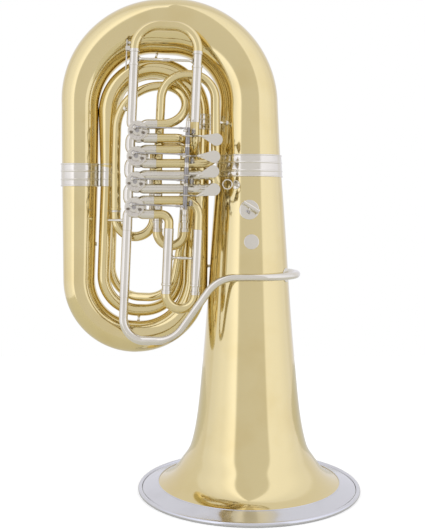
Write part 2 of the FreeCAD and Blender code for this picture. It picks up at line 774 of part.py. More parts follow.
# paddles on one axle, each pushing a link rod to its rotor's pin
half_swing = math.radians(paddle_swing / 2)
lever_end = vec(-lever_length * math.sin(half_swing), -lever_length * math.cos(half_swing), 0)
link_rise = crank_length * (1 + math.cos(pin_swing)) / 2
slot_half = crank_length * (1 - math.cos(pin_swing)) / 2
up = vec(0, 0, 1)
for k, (foot, head, arm_height, plate_x, plate_z) in enumerate(paddles):
    link_z = valve_heights[k] + link_rise
    axis = vec(axle_x, axle_y, 0)
    tip = axis + lever_end
    hub = Part.makeCylinder(hub_radius, head - foot, axis + up * foot, up)
    centre = vec(plate_x, plate_y, plate_z)
    path = route(
        [axis + up * arm_height, axis + vec(9, 0, arm_height), vec(axle_x + 24, plate_y, arm_height),
         centre],
        [6.0, 6.0],
    )
    arm_end = centre - unit(centre - vec(axle_x + 24, plate_y, arm_height)) * 6.0
    path[-1] = ("run", path[-1][1], arm_end)
    arm = rod(path, arm_radius)
    tail = centre - unit(centre - vec(axle_x + 24, plate_y, arm_height)) * 23.0
    plate = Part.makeCylinder(plate_radius, plate_thick, centre - back * (plate_thick / 2), back)
    toe = Part.makeCylinder(plate_tail_radius, plate_thick, tail - back * (plate_thick / 2), back)
    span = centre - tail
    lift = math.acos((plate_radius - plate_tail_radius) / span.Length)
    sides = []
    for turn in (lift, -lift):
        out = FreeCAD.Rotation(back, math.degrees(turn)).multVec(unit(span))
        sides.append((tail + out * plate_tail_radius, centre + out * plate_radius))
    web = Part.Face(Part.makePolygon(
        [sides[0][0], sides[0][1], sides[1][1], sides[1][0], sides[0][0]]
    ))
    web.translate(back * (-plate_thick / 2))
    web = web.extrude(back * plate_thick)
    lever = rod([("run", axis + up * (link_z - 4.6), tip + up * (link_z - 4.6))], arm_radius)
    end = Part.makeCylinder(3.2, 3.6, tip + up * (link_z - 6.4), up)
    pin = Part.makeCylinder(pin_radius, 7.0, tip + up * (link_z - 4.6), up)
    body = hub.fuse([arm, plate, toe, web, lever, end, pin])
    body = body.cut(Part.makeCylinder(axle_radius + hub_clearance, 400, axis - up * 200, up))
    nodes["paddle_%d" % (k + 1)] = placed(body.removeSplitter())

    near = vec(-crank_length * math.sin(pin_swing), link_y, link_z)
    far = tip + up * link_z
    bar = rod([("run", near, far)], link_radius)
    ring = Part.makeCylinder(4.1, 3.0, far - up * 1.5, up)
    eye_inner = pin_radius + eye_play
    eye_outer = eye_inner + 1.7
    eye = []
    slot = []
    for shift in (-slot_half, slot_half):
        middle = near + up * shift
        eye.append(Part.makeCylinder(eye_outer, 3.0, middle - back * 1.5, back))
        slot.append(Part.makeCylinder(eye_inner, 6.0, middle - back * 3.0, back))
    slot.append(Part.makeBox(2 * eye_inner, 6.0, 2 * slot_half,
                             near - vec(eye_inner, 3.0, slot_half)))
    holes = slot + [Part.makeCylinder(pin_radius + link_eye_play, 12.0, far - up * 6, up)]
    link = bar.fuse([ring] + eye).cut(holes)
    nodes["link_%d" % (k + 1)] = placed(link.removeSplitter())

axis = vec(axle_x, axle_y, 0)
axle = Part.makeCylinder(axle_radius, axle_high - axle_low, axis + up * axle_low, up)
nodes["action_axle"] = placed(axle.fuse(
    Part.makeCylinder(4.0, 2.4, axis + up * axle_high, up)
).removeSplitter())
eyes = [(axle_low + 1.0, paddles[0][0] - hub_gap), (paddles[1][1] + hub_gap, paddles[2][0] - hub_gap),
        (paddles[3][1] + hub_gap, axle_high - 0.4)]
bar_front = axle_y + hub_radius + 1.2
bar_back = bar_front + 2.6
bridge = [Part.makeBox(8.0, bar_back - bar_front, axle_high - axle_low,
                       vec(axle_x - 4.0, bar_front, axle_low))]
for low, high in eyes:
    bridge.append(Part.makeCylinder(4.4, high - low, axis + up * low, up))
    bridge.append(Part.makeBox(6.4, bar_front - axle_y, high - low, vec(axle_x - 3.2, axle_y, low)))
bridge = placed(bridge[0].fuse(bridge[1:]).cut(
    Part.makeCylinder(axle_radius + 0.08, 400, axis - up * 200, up)))
# the bridge stands on the level tubes of the first three valves
feet = []
crossing = fat(valve1_upper, even(valve1_upper, tube_radius))
axle_mid = lean(axle_x, 0, 0)
for z, radius in ((v1.z + port_offset, tube_radius), (v2.z - port_offset, sleeve_radius),
                  (v2.z + port_offset, sleeve_radius), (v3.z - port_offset, tube_radius)):
    x = axle_mid.x + section_up.x / section_up.z * (z - axle_mid.z)
    feet.append(Part.makeBox(9.0, 6.5, 11.0, vec(x - 4.5, section_y + bar_back - 1.0, z - 5.5)))
    if z > v1.z + port_offset:
        crossing.append(Part.makeCylinder(
            radius + solder_gap, 60, vec(x - 30, section_y, z), vec(1, 0, 0)))
nodes["axle_bridge"] = bridge.fuse(feet).cut(crossing).removeSplitter()

# leadpipe: wraps the bell, crosses in front and rises to the first valve
wrap_turn = math.radians(35.0)
wrap_side = vec(-math.sin(wrap_turn), math.cos(wrap_turn), 0)
wrap_start = vec(math.cos(wrap_turn), math.sin(wrap_turn), 0) * lead_wrap_radius
lead_start = wrap_start + wrap_side * 40.0 + up * lead_height
wrap_corner = lead_wrap_radius / math.cos(math.radians(31.25))
wrap_corners = [
    vec(math.cos(a) * wrap_corner, math.sin(a) * wrap_corner, lead_height)
    for a in (math.radians(3.75), math.radians(-58.75))
]
lead_sag = section_up * (312.0 - lead_socket.z) * (1 / section_up.z)
lead_foot = lead_socket + lead_sag
lead_route = route(
    [lead_start, wrap_corners[0], wrap_corners[1], vec(-63.2, -lead_wrap_radius, lead_height),
     vec(-150.0, -lead_wrap_radius, 314.0), lead_foot, lead_socket + section_up * 8.0],
    [lead_wrap_radius, lead_wrap_radius, 66.0, 60.0, 42.0],
)
nodes["leadpipe"] = taper_pipe(lead_route, lead_radii, lead_wall)
lead_space = fat(lead_route, lead_radii)
cup = turned([
    (lead_radii[0] + solder_gap, 0), (receiver_radius, 0), (receiver_radius, receiver_length - 12),
    (receiver_radius + 1.6, receiver_length - 10), (receiver_radius + 1.6, receiver_length),
    (receiver_bore, receiver_length), (receiver_bore, 14.0), (6.1, 14.0), (6.1, 12.0),
    (lead_radii[0] + solder_gap, 12.0),
])
cup.Placement = FreeCAD.Placement(
    lead_start - wrap_side * 11.9, FreeCAD.Rotation(vec(0, 0, 1), wrap_side))
nodes["mouthpiece_receiver"] = cup

# fittings soldered on the bell
bell_side = flare_shell(solder_gap, solder_gap + 1.6)


def bell_spot(degrees, z, radius):
    """Round plate curved to the bell, with its outward direction."""
    out = vec(math.cos(math.radians(degrees)), math.sin(math.radians(degrees)), 0)
    plate = bell_side.common(Part.makeCylinder(radius, 130.0, up * z, out))
    return plate, out


bell_space = [Part.makeCone(bell_radius(z) + 0.3, bell_radius(z + 60.0) + 0.3, 60.0, up * z)
              for z in (340.0, 400.0, 460.0, 520.0, 580.0)]
fittings = []
plate, out = bell_spot(-91.5, 567.3, 19.5)
socket_mid = vec(1.5, -84.5, 572.6)
socket_way = unit(vec(31.0, 0, -19.6))
socket_side = unit(vec(-19.6, 0, -31.0))
socket_half = 18.0
holder_stem = Part.makeCylinder(3.6, 16.0, vec(1.5, -84.5, 570.0), back)
holder = Part.makeCylinder(4.4, 2 * socket_half, socket_mid - socket_way * socket_half, socket_way)
boss = Part.makeCylinder(3.2, 8.0, socket_mid, socket_side)
holder = plate.fuse([holder_stem, holder, boss]).cut(bell_space)
holder = holder.cut(Part.makeCylinder(2.7, 60.0, socket_mid - socket_way * 30.0, socket_way))
holder = holder.cut(Part.makeCylinder(1.6, 20.0, socket_mid, socket_side))
fittings.append(holder.removeSplitter())
screw = Part.makeCylinder(1.55, 9.0, socket_mid + socket_side * 3.2, socket_side)
wing = Part.makeCylinder(4.6, 4.0, socket_mid + socket_side * 9.0, socket_side)
nodes["lyre_screw"] = screw.fuse(wing).removeSplitter()
fittings.append(bell_spot(-88.2, 504.5, 14.8)[0])

ring_centre = vec(-45.1, -98.0, 616.4)
ring = Part.makeTorus(9.0, 1.9, ring_centre, back)
foot, out = bell_spot(-114.0, ring_centre.z, 9.0)
stalk_end = out * 66.0 + up * ring_centre.z
stalk = rod(route(
    [ring_centre + vec(9.0, 0, 0), ring_centre + vec(9.0, 18.0, 0), stalk_end], [12.0]), 2.3)
fittings.append(foot.fuse([ring, stalk]).cut(bell_space).removeSplitter())

lead_plate, out = bell_spot(-25.0, lead_height, 14.0)
lead_stub = Part.makeCylinder(4.0, 20.0, out * 79.0 + up * lead_height, out)
fittings.append(lead_plate.fuse(lead_stub).cut(bell_space + lead_space).removeSplitter())
nodes["bell_fittings"] = Part.makeCompound(fittings)


# stays between tubes: a bar with a saddle at each end, trimmed to both tubes
def stay(a, radius_a, b, radius_b, spaces, bar=2.4, foot=6.0):
    way = unit(b - a)
    body = rod([("run", a, b)], bar)
    ends = [Part.makeCylinder(foot, 5.0, a + way * (radius_a - 3.0), way),
            Part.makeCylinder(foot, 5.0, b - way * (radius_b - 3.0), way * -1)]
    pieces = body.fuse(ends).cut(spaces)
    kept = max(pieces.Solids, key=lambda solid: solid.Volume)
    return kept.removeSplitter()


def column(at, along, radius):
    """Filled stretch of tube around a point, a solder gap larger."""
    return Part.makeCylinder(radius + solder_gap, 80.0, at - unit(along) * 40.0, along)


bow_space4 = fat(bow_route, bow_radii)
branch_space = fat(branch_route, branch_radii)
second_top_space = fat(second_route, second_top_radii)
second_space = fat(second_bottom_route, second_bottom_radii)
third_space = fat(third_bottom_route, even(third_bottom_route, third_radius))
v4_space = fat(valve4_upper, even(valve4_upper, tube_radius))
v3_space = fat(valve3_lower, even(valve3_lower, tube_radius))
arch_mid = vec(arch_right, slide3_y - 6.0, 740.0)
stays = [
    stay(vec(-345.6, 0, 497.0), 33.2, vec(-297.6, 0, 497.0), 13.3, branch_space + second_space),
    stay(vec(-107.7, 0, 452.0), 24.9, vec(0, 0, 452.0), 79.7, branch_space + bell_space),
    stay(arch_mid, tube_radius, vec(0, 0, 740.0), 61.5, v3_space + bow_space4),
    stay(lean(airway_x, 0, 128.0), sleeve_radius, vec(-250.5, slide4_y, 768.0), tube_radius,
         v4_space + [column(lean(airway_x, 0, 128.0), section_up, sleeve_radius)]),
    stay(vec(-172.0, 0, bow_top), 56.4, vec(-195.0, 0, second_top), 20.4,
         bow_space4 + second_top_space),
    stay(vec(-228.0, 0, branch_bottom), 31.7, vec(-224.0, 9.0, second_bottom), 12.2,
         branch_space + second_space),
    stay(vec(-295.8, 0, 560.0), 13.6, vec(-280.4, third_y_left, 560.0), third_radius,
         second_space + third_space),
    stay(tops1[0] + down * 57.0, sleeve_radius, tops1[1] + down * 57.0, sleeve_radius,
         [column(t + down * 57.0, section_up, sleeve_radius) for t in tops1]),
]
nodes["stays"] = Part.makeCompound(stays)

os.makedirs("parts", exist_ok=True)
for name, shape in nodes.items():
    shape.exportStep("parts/%s.step" % name)
    print(name, shape.isValid(), len(shape.Solids), round(shape.Volume))
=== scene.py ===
import math

import bmesh
import bpy
import numpy as np
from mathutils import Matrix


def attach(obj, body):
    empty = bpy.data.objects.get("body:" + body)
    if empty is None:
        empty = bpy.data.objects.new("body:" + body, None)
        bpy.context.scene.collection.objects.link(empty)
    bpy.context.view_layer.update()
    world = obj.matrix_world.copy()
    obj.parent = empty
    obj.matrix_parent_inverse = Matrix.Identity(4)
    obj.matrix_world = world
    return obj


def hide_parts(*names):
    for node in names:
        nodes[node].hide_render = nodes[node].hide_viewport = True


# Bass tuba standing on its bell. Piece dimensions are millimetres, meshes are metres.
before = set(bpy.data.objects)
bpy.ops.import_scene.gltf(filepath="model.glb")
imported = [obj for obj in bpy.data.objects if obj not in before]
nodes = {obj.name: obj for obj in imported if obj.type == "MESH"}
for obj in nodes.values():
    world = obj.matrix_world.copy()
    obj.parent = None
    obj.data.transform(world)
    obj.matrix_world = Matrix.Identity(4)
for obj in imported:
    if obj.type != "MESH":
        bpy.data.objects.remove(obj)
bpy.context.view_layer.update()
print("frame loaded:", len(nodes), "nodes")

millimetre = 0.001
sectionLean = math.radians(2.4)  # the valve section leans to the bell
sectionUp = np.array([math.sin(sectionLean), 0.0, math.cos(sectionLean)])
sectionRight = np.array([math.cos(sectionLean), 0.0, -math.sin(sectionLean)])
sectionCentre = np.array([-222.15, -78.0, 646.4])
sectionDown = -sectionUp
toBack = np.array([0.0, 1.0, 0.0])
towardsFront = -toBack
valvePitch = 49.6


def unit(v):
    v = np.asarray(v, float)
    return v / np.linalg.norm(v, axis=-1, keepdims=True)


def leaning(x, y, z):  # a point given in the valve section's own frame
    return sectionCentre + x * sectionRight + y * toBack + z * sectionUp


def valveHeight(k):  # the four valves stand evenly about the section's centre
    return (k - 1.5) * valvePitch


def onValve(k, x, y, z):  # a point beside valve k, in the section's frame
    return leaning(x, y, valveHeight(k) + z)


# surfaces


def gridShell(surface, closeRows=True):
    # rows x columns x 3 points become quads between neighbours; each row is a closed ring
    rows, columns = surface.shape[:2]
    r, c = np.meshgrid(
        np.arange(rows if closeRows else rows - 1), np.arange(columns), indexing="ij")
    rNext, cNext = (r + 1) % rows, (c + 1) % columns
    quads = np.stack(
        [r * columns + c, r * columns + cNext, rNext * columns + cNext, rNext * columns + c], -1
    ).reshape(-1, 4)
    points = surface.reshape(-1, 3)
    corner = points[quads]
    fan = np.cross(corner[:, 1] - corner[:, 0], corner[:, 2] - corner[:, 0])
    fan += np.cross(corner[:, 2] - corner[:, 0], corner[:, 3] - corner[:, 0])
    if (fan * corner.mean(1)).sum() < 0:  # enclosed volume decides which way is outwards
        quads = quads[:, ::-1]
    return points, quads


runStep = 45.0  # rings on a straight run stand about this far apart
shortestRun = 0.05
brokenEdge = 0.3
sideHint = (0.31, 0.87, 0.38)  # no piece's axis lies along this


def centreLine(part):
    # straight runs joined by tangent arcs; on an arc the point is
    # start + bend (sin a heading + (1 - cos a) inward), and the station counts legs
    corners = np.array(part["line"], float)
    spots, ways, stations = [], [], []
    here, leg = corners[0], 0

    def straight(a, b):
        length = np.linalg.norm(b - a)
        near = min(1.2 / length, 0.2)
        inner = np.linspace(near, 1 - near, max(2, int(length / runStep) + 2))
        share = np.concatenate([[0.0], inner, [1.0]])[:, None]
        spots.append(a + (b - a) * share)
        ways.append(np.repeat(unit(b - a)[None], len(share), 0))
        stations.append(leg + share[:, 0])

    for i, bend in enumerate(part["bends"]):
        heading = unit(corners[i + 1] - corners[i])
        leaving = unit(corners[i + 2] - corners[i + 1])
        turn = math.acos(np.clip(heading @ leaving, -1, 1))
        inward = unit(leaving - (leaving @ heading) * heading)
        back = bend * math.tan(turn / 2)
        start = corners[i + 1] - heading * back
        if np.linalg.norm(start - here) > shortestRun:
            straight(here, start)
            leg += 1
        count = max(4, int(math.degrees(turn) / part.get("arcStep", 4.0)) + 2)
        angle = np.linspace(0, turn, count)[:, None]
        spots.append(start + bend * (np.sin(angle) * heading + (1 - np.cos(angle)) * inward))
        ways.append(np.cos(angle) * heading + np.sin(angle) * inward)
        stations.append(leg + angle[:, 0] / turn)
        leg += 1
        here = corners[i + 1] + leaving * back
    if np.linalg.norm(corners[-1] - here) > shortestRun:
        straight(here, corners[-1])
    spots, ways = np.concatenate(spots), np.concatenate(ways)
    kept = np.concatenate([[True], np.linalg.norm(np.diff(spots, axis=0), axis=1) > 0.02])
    return spots[kept], ways[kept], np.concatenate(stations)[kept]


def carriedSides(ways):
    # a side direction carried along the line without twisting
    side = unit(np.cross(ways[0], sideHint))
    sides = []
    for way in ways:
        side = unit(side - (side @ way) * way)
        sides.append(side)
    return np.array(sides), np.cross(ways, np.array(sides))


def ringsAlong(spots, ways, radii, columns):
    # circle of each radius square to the line: spot + radius (cos a side + sin a lift)
    sides, lifts = carriedSides(ways)
    angle = np.linspace(0, 2 * math.pi, columns, endpoint=False)[None, :, None]
    around = np.cos(angle) * sides[:, None] + np.sin(angle) * lifts[:, None]
    return spots[:, None] + np.asarray(radii, float)[:, None, None] * around


def radiiAlong(part, stations):
    # one radius for the whole line, or one for each station, with even tapers between
    radii = np.atleast_1d(np.array(part["radius"], float))
    return np.interp(stations, np.arange(len(radii)), radii)


def pipeShell(part):
    # outside of the tube from foot to head, a broken edge, then the bore back to the foot
    spots, ways, stations = centreLine(part)
    outer = radiiAlong(part, stations)
    wall = part["wall"]
    lip = min(brokenEdge, wall / 2)
    order = np.concatenate([[0], np.arange(len(spots)), [len(spots) - 1]])
    back = np.arange(len(spots))[::-1]
    rows = spots[order].copy()
    rows[1] += ways[0] * lip
    rows[-2] -= ways[-1] * lip
    outside = outer[order].copy()
    outside[0] -= lip
    outside[-1] -= lip
    return gridShell(ringsAlong(
        np.concatenate([rows, spots[back]]), np.concatenate([ways[order], ways[back]]),
        np.concatenate([outside, outer[back] - wall]), part.get("columns", 40),
    ))


def barShell(part):
    # solid round bar with broken edges, its ends closed at the middle
    spots, ways, stations = centreLine(part)
    outer = radiiAlong(part, stations)
    last = len(spots) - 1
    order = np.concatenate([[0, 0], np.arange(len(spots)), [last, last]])
    rows = spots[order].copy()
    rows[2] += ways[0] * brokenEdge
    rows[-3] -= ways[-1] * brokenEdge
    outside = outer[order].copy()
    outside[[1, -2]] -= brokenEdge
    outside[[0, -1]] = 0.0
    return gridShell(
        ringsAlong(rows, ways[order], outside, part.get("columns", 24)), closeRows=False)


def turnedShell(outline, foot=(0, 0, 0), along=(0, 0, 1), columns=72, openEnds=False):
    # (radius, height) corners turned about an axis: foot + height along + radius around;
    # openEnds is for a profile that starts and ends on the axis, as a solid knob's does
    outline = np.array(outline, float)
    along = unit(along)
    side = unit(np.cross(along, sideHint if abs(along[1]) < 0.8 else (0.9, 0.1, 0.4)))
    lift = np.cross(along, side)
    angle = np.linspace(0, 2 * math.pi, columns, endpoint=False)[None, :, None]
    around = np.cos(angle) * side + np.sin(angle) * lift
    surface = np.asarray(foot, float) + outline[:, None, 1:] * along + outline[:, None, :1] * around
    return gridShell(surface, closeRows=not openEnds)


def smoothCurve(points, count):
    # natural cubic spline through the points, spaced by chord length
    p = np.array(points, float)
    t = np.concatenate([[0.0], np.cumsum(np.linalg.norm(np.diff(p, axis=0), axis=1))])
    h, n = np.diff(t), len(t)
    rule, right = np.zeros((n, n)), np.zeros(p.shape)
    rule[0, 0] = rule[-1, -1] = 1.0
    i = np.arange(1, n - 1)
    rule[i, i - 1], rule[i, i], rule[i, i + 1] = h[i - 1], 2 * (h[i - 1] + h[i]), h[i]
    right[i] = 6 * ((p[i + 1] - p[i]) / h[i, None] - (p[i] - p[i - 1]) / h[i - 1, None])
    m = np.linalg.solve(rule, right)
    s = np.linspace(0, t[-1], count)
    k = np.clip(np.searchsorted(t, s, side="right") - 1, 0, n - 2)
    a, b, w = (t[k + 1] - s)[:, None], (s - t[k])[:, None], h[k, None]
    return (m[k] * a**3 + m[k + 1] * b**3) / (6 * w) + (
        p[k] / w - m[k] * w / 6) * a + (p[k + 1] / w - m[k + 1] * w / 6) * b


def squareOff(curve, distance):
    # a (radius, height) curve moved square to itself
    way = unit(np.gradient(curve, axis=0))
    return curve + np.stack([way[:, 1], -way[:, 0]], -1) * distance


def padShell(outline, stack, origin, across, upward):
    # a flat outline (x, y) in layers of (inset, height), its faces closed at the middle
    outline = np.array(outline, float)
    way = unit(np.roll(outline, -1, 0) - np.roll(outline, 1, 0))
    outward = np.stack([way[:, 1], -way[:, 0]], -1)
    if (outline * outward).sum() < 0:
        outward = -outward
    across, upward = unit(across), unit(upward)
    out = np.cross(across, upward)
    layers = [outline - outward * inset for inset, _ in stack]
    heights = [height for _, height in stack]
    middle = np.repeat(outline.mean(0)[None], len(outline), 0)
    layers, heights = [middle] + layers + [middle], [heights[0]] + heights + [heights[-1]]
    layers, heights = np.array(layers), np.array(heights)[:, None, None]
    surface = np.asarray(origin, float) + layers[..., :1] * across + layers[..., 1:] * upward
    return gridShell(surface + heights * out, closeRows=False)


creaseAngle = math.radians(38.0)  # steeper edges stay sharp


def makePiece(name, shells, body, finish, replaced=()):
    # one mesh from several closed shells
    points, quads, offset = [], [], 0
    for shellPoints, shellQuads in shells:
        points.append(shellPoints)
        quads.append(shellQuads + offset)
        offset += len(shellPoints)
    points, quads = np.concatenate(points), np.concatenate(quads)
    mesh = bpy.data.meshes.new(name)
    mesh.vertices.add(len(points))
    mesh.vertices.foreach_set("co", (points * millimetre).astype(np.float32).ravel())
    mesh.loops.add(quads.size)
    mesh.loops.foreach_set("vertex_index", quads.astype(np.int32).ravel())
    mesh.polygons.add(len(quads))
    mesh.polygons.foreach_set("loop_start", np.arange(0, quads.size, 4, dtype=np.int32))
    mesh.update(calc_edges=True)
    weldPoles(mesh)
    mesh.polygons.foreach_set("use_smooth", np.ones(len(mesh.polygons), bool))
    mesh.set_sharp_from_angle(angle=creaseAngle)
    mesh.materials.append(finish)
    piece = bpy.data.objects.new(name, mesh)
    bpy.context.collection.objects.link(piece)
    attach(piece, body)
    if replaced:
        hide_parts(*replaced)


def weldPoles(mesh):  # a ring of no radius becomes one point
    work = bmesh.new()
    work.from_mesh(mesh)
    bmesh.ops.remove_doubles(work, verts=work.verts, dist=2e-6)
    bmesh.ops.dissolve_degenerate(work, edges=work.edges, dist=1e-7)
    work.to_mesh(mesh)
    work.free()


# finishes

brassLook = {
    "colour": (0.77, 0.64, 0.315), "worn": (0.73, 0.585, 0.26), "roughness": (0.05, 0.12),
    "lacquer": 0.4, "lacquerRoughness": 0.03, "patch": 9.0, "scratch": 520.0, "bump": 0.05,
}
nickelLook = {
    "colour": (0.77, 0.725, 0.60), "worn": (0.71, 0.66, 0.54), "roughness": (0.09, 0.18),
    "lacquer": 0.2, "lacquerRoughness": 0.05, "patch": 14.0, "scratch": 700.0, "bump": 0.06,
}
rimLook = {
    "colour": (0.71, 0.705, 0.69), "worn": (0.66, 0.65, 0.63), "roughness": (0.1, 0.2),
    "lacquer": 0.1, "lacquerRoughness": 0.05, "patch": 14.0, "scratch": 700.0, "bump": 0.06,
}
steelLook = {
    "colour": (0.36, 0.34, 0.31), "worn": (0.28, 0.26, 0.235), "roughness": (0.22, 0.36),
    "lacquer": 0.0, "lacquerRoughness": 0.1, "patch": 30.0, "scratch": 900.0, "bump": 0.08,
}
rodLook = {
    "colour": (0.50, 0.475, 0.43), "worn": (0.42, 0.39, 0.34), "roughness": (0.14, 0.26),
    "lacquer": 0.0, "lacquerRoughness": 0.1, "patch": 30.0, "scratch": 900.0, "bump": 0.08,
}
machinedLook = {
    "colour": (0.70, 0.60, 0.42), "worn": (0.60, 0.50, 0.33), "roughness": (0.2, 0.34),
    "lacquer": 0.0, "lacquerRoughness": 0.1, "patch": 30.0, "scratch": 1100.0, "bump": 0.1,
}
stippledLook = {
    "colour": (0.74, 0.69, 0.59), "worn": (0.56, 0.51, 0.41), "roughness": (0.24, 0.42),
    "lacquer": 0.1, "lacquerRoughness": 0.1, "patch": 260.0, "scratch": 1500.0, "bump": 0.7,
}
corkLook = {"light": (0.30, 0.25, 0.19), "dark": (0.11, 0.09, 0.07), "grain": 900.0}


def link(tree, a, out, b, into):
    tree.links.new(a.outputs[out], b.inputs[into])


def mathNode(tree, operation, value=None):
    node = tree.nodes.new("ShaderNodeMath")
    node.operation = operation
    if value is not None:
        node.inputs[1].default_value = value
    return node


def noiseNode(tree, scale, detail):
    node = tree.nodes.new("ShaderNodeTexNoise")
    node.inputs["Scale"].default_value = scale
    node.inputs["Detail"].default_value = detail
    return node


def polishedMetal(name, look):
    # metal whose colour and roughness drift in soft patches, with a fine polishing grain
    material = bpy.data.materials.new(name)
    material.use_nodes = True
    tree = material.node_tree
    metal = tree.nodes["Principled BSDF"]
    metal.inputs["Metallic"].default_value = 1.0
    metal.inputs["Coat Weight"].default_value = look["lacquer"]
    metal.inputs["Coat Roughness"].default_value = look["lacquerRoughness"]
    place = tree.nodes.new("ShaderNodeTexCoord")
    patches = noiseNode(tree, look["patch"], 3.0)
    grain = noiseNode(tree, look["scratch"], 2.0)
    link(tree, place, "Object", patches, "Vector")
    link(tree, place, "Object", grain, "Vector")
    tone = tree.nodes.new("ShaderNodeValToRGB")
    tone.color_ramp.elements[0].position = 0.25
    tone.color_ramp.elements[0].color = (*look["worn"], 1.0)
    tone.color_ramp.elements[1].position = 0.5
    tone.color_ramp.elements[1].color = (*look["colour"], 1.0)
    link(tree, patches, "Fac", tone, "Fac")
    link(tree, tone, "Color", metal, "Base Color")
    mixed = mathNode(tree, "MULTIPLY")
    link(tree, patches, "Fac", mixed, 0)
    link(tree, grain, "Fac", mixed, 1)
    rough = tree.nodes.new("ShaderNodeMapRange")
    rough.inputs["From Min"].default_value = 0.1
    rough.inputs["From Max"].default_value = 0.4
    rough.inputs["To Min"].default_value = look["roughness"][0]
    rough.inputs["To Max"].default_value = look["roughness"][1]
    link(tree, mixed, "Value", rough, "Value")
    link(tree, rough, "Result", metal, "Roughness")
    bump = tree.nodes.new("ShaderNodeBump")
    bump.inputs["Strength"].default_value = look["bump"]
    bump.inputs["Distance"].default_value = 0.0001
    link(tree, grain, "Fac", bump, "Height")
    link(tree, bump, "Normal", metal, "Normal")
    return material


def pressedCork(name, look):
    material = bpy.data.materials.new(name)
    material.use_nodes = True
    tree = material.node_tree
    cork = tree.nodes["Principled BSDF"]
    cork.inputs["Roughness"].default_value = 0.85
    place = tree.nodes.new("ShaderNodeTexCoord")
    grain = tree.nodes.new("ShaderNodeTexVoronoi")
    grain.inputs["Scale"].default_value = look["grain"]
    link(tree, place, "Object", grain, "Vector")
    tone = tree.nodes.new("ShaderNodeValToRGB")
    tone.color_ramp.elements[0].color = (*look["dark"], 1.0)
    tone.color_ramp.elements[1].color = (*look["light"], 1.0)
    link(tree, grain, "Distance", tone, "Fac")
    link(tree, tone, "Color", cork, "Base Color")
    bump = tree.nodes.new("ShaderNodeBump")
    bump.inputs["Strength"].default_value = 0.4
    bump.inputs["Distance"].default_value = 0.0003
    link(tree, grain, "Distance", bump, "Height")
    link(tree, bump, "Normal", cork, "Normal")
    return material


brass = polishedMetal("lacqueredBrass", brassLook)
nickel = polishedMetal("nickelSilver", nickelLook)
rimNickel = polishedMetal("rimNickel", rimLook)
steel = polishedMetal("darkSteel", steelLook)
rodMetal = polishedMetal("rodMetal", rodLook)
machined = polishedMetal("machinedBrass", machinedLook)
stippled = polishedMetal("stippledNickel", stippledLook)
cork = pressedCork("bumperCork", corkLook)
print("finishes made")

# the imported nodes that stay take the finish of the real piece
brassNodes = (
    "bell", "big_bow", "outer_branch", "second_top_bow", "second_branch", "third_top_bow",
    "third_bottom_bow", "main_slide_receiver", "main_slide_bow", "valve1_tubes", "valve3_tubes",
    "valve4_tubes", "valve1_slide_bow", "valve2_slide_bow", "valve3_slide_bow", "valve4_slide_bow",
)
for name, node in nodes.items():
    finish = brass if name in brassNodes else nickel
    if name.startswith("rotor_"):
        finish = machined
    if name in ("stop_corks", "water_key_cork"):
        finish = cork
    node.data.materials.clear()
    node.data.materials.append(finish)

# bell

bell = {
    "flare": [
        (215.2, 5.6), (200.0, 10.6), (182.5, 16.6), (165.0, 26.0), (150.0, 39.0), (135.0, 59.0),
        (121.6, 79.0), (114.5, 99.5), (106.3, 140.0), (97.1, 222.0), (89.9, 304.0),
        (81.3, 426.0), (76.2, 508.0), (70.5, 590.0), (65.7, 655.0),
    ],
    "wall": 0.8, "rings": 150, "columns": 160,
}
flare = smoothCurve(bell["flare"], bell["rings"])
makePiece(
    "bellFlare",
    [turnedShell(np.concatenate([flare, squareOff(flare, -bell["wall"])[::-1]]),
                 columns=bell["columns"])],
    "horn", brass, ["bell"],
)


def bellRadius(height):
    return np.interp(height, flare[:, 1], flare[:, 0])


garland = {
    "rim": 225.0, "wire": 4.5, "land": 0.4, "inner": 182.5, "sheet": 0.7, "gap": 0.12, "bead": 1.0,
}
angle = np.linspace(0, 2 * math.pi, 28, endpoint=False)
wireOutline = np.stack([
    garland["rim"] - garland["wire"] + garland["wire"] * np.cos(angle),
    np.maximum(garland["wire"] - garland["land"] + garland["wire"] * np.sin(angle), 0.0),
], -1)
zone = flare[flare[:, 0] > garland["inner"]]
sheetOutline = np.concatenate([
    squareOff(zone, garland["gap"] + garland["sheet"]), squareOff(zone, garland["gap"])[::-1]])
beadAt = squareOff(zone, garland["gap"] + garland["sheet"])[-1]
beadOutline = beadAt + garland["bead"] * np.stack([np.cos(angle), np.sin(angle)], -1)
makePiece(
    "bellGarland",
    [turnedShell(wireOutline, columns=200), turnedShell(sheetOutline, columns=200),
     turnedShell(beadOutline, columns=200)],
    "horn", rimNickel, ["bell_garland"],
)
print("bell made")

# ferrules: ribbed sleeves over the tapered joints


ferruleFit = {"gap": 0.12, "lip": 0.4, "rings": 90}


def ferruleShell(part):
    # a sleeve following the taper, with a half-round rib at each of the given heights
    foot, head = np.array(part["foot"], float), np.array(part["head"], float)
    height = np.linalg.norm(head - foot)
    z = np.linspace(0, height, ferruleFit["rings"])
    edge = part["radius"][0] + (part["radius"][1] - part["radius"][0]) * z / height
    rib = sum(
        np.sqrt(np.clip(1 - ((z - share * height) / part["ribWidth"]) ** 2, 0, 1))
        for share in part["ribs"]
    )
    outer = edge + part["wall"] + part["rib"] * rib
    outline = np.concatenate([
        np.stack([outer, z], -1), np.stack([edge[::-1] + ferruleFit["gap"], z[::-1]], -1)])
    outline[[0, len(z) - 1], 0] -= ferruleFit["lip"]
    return turnedShell(outline, foot, head - foot, columns=part.get("columns", 96))


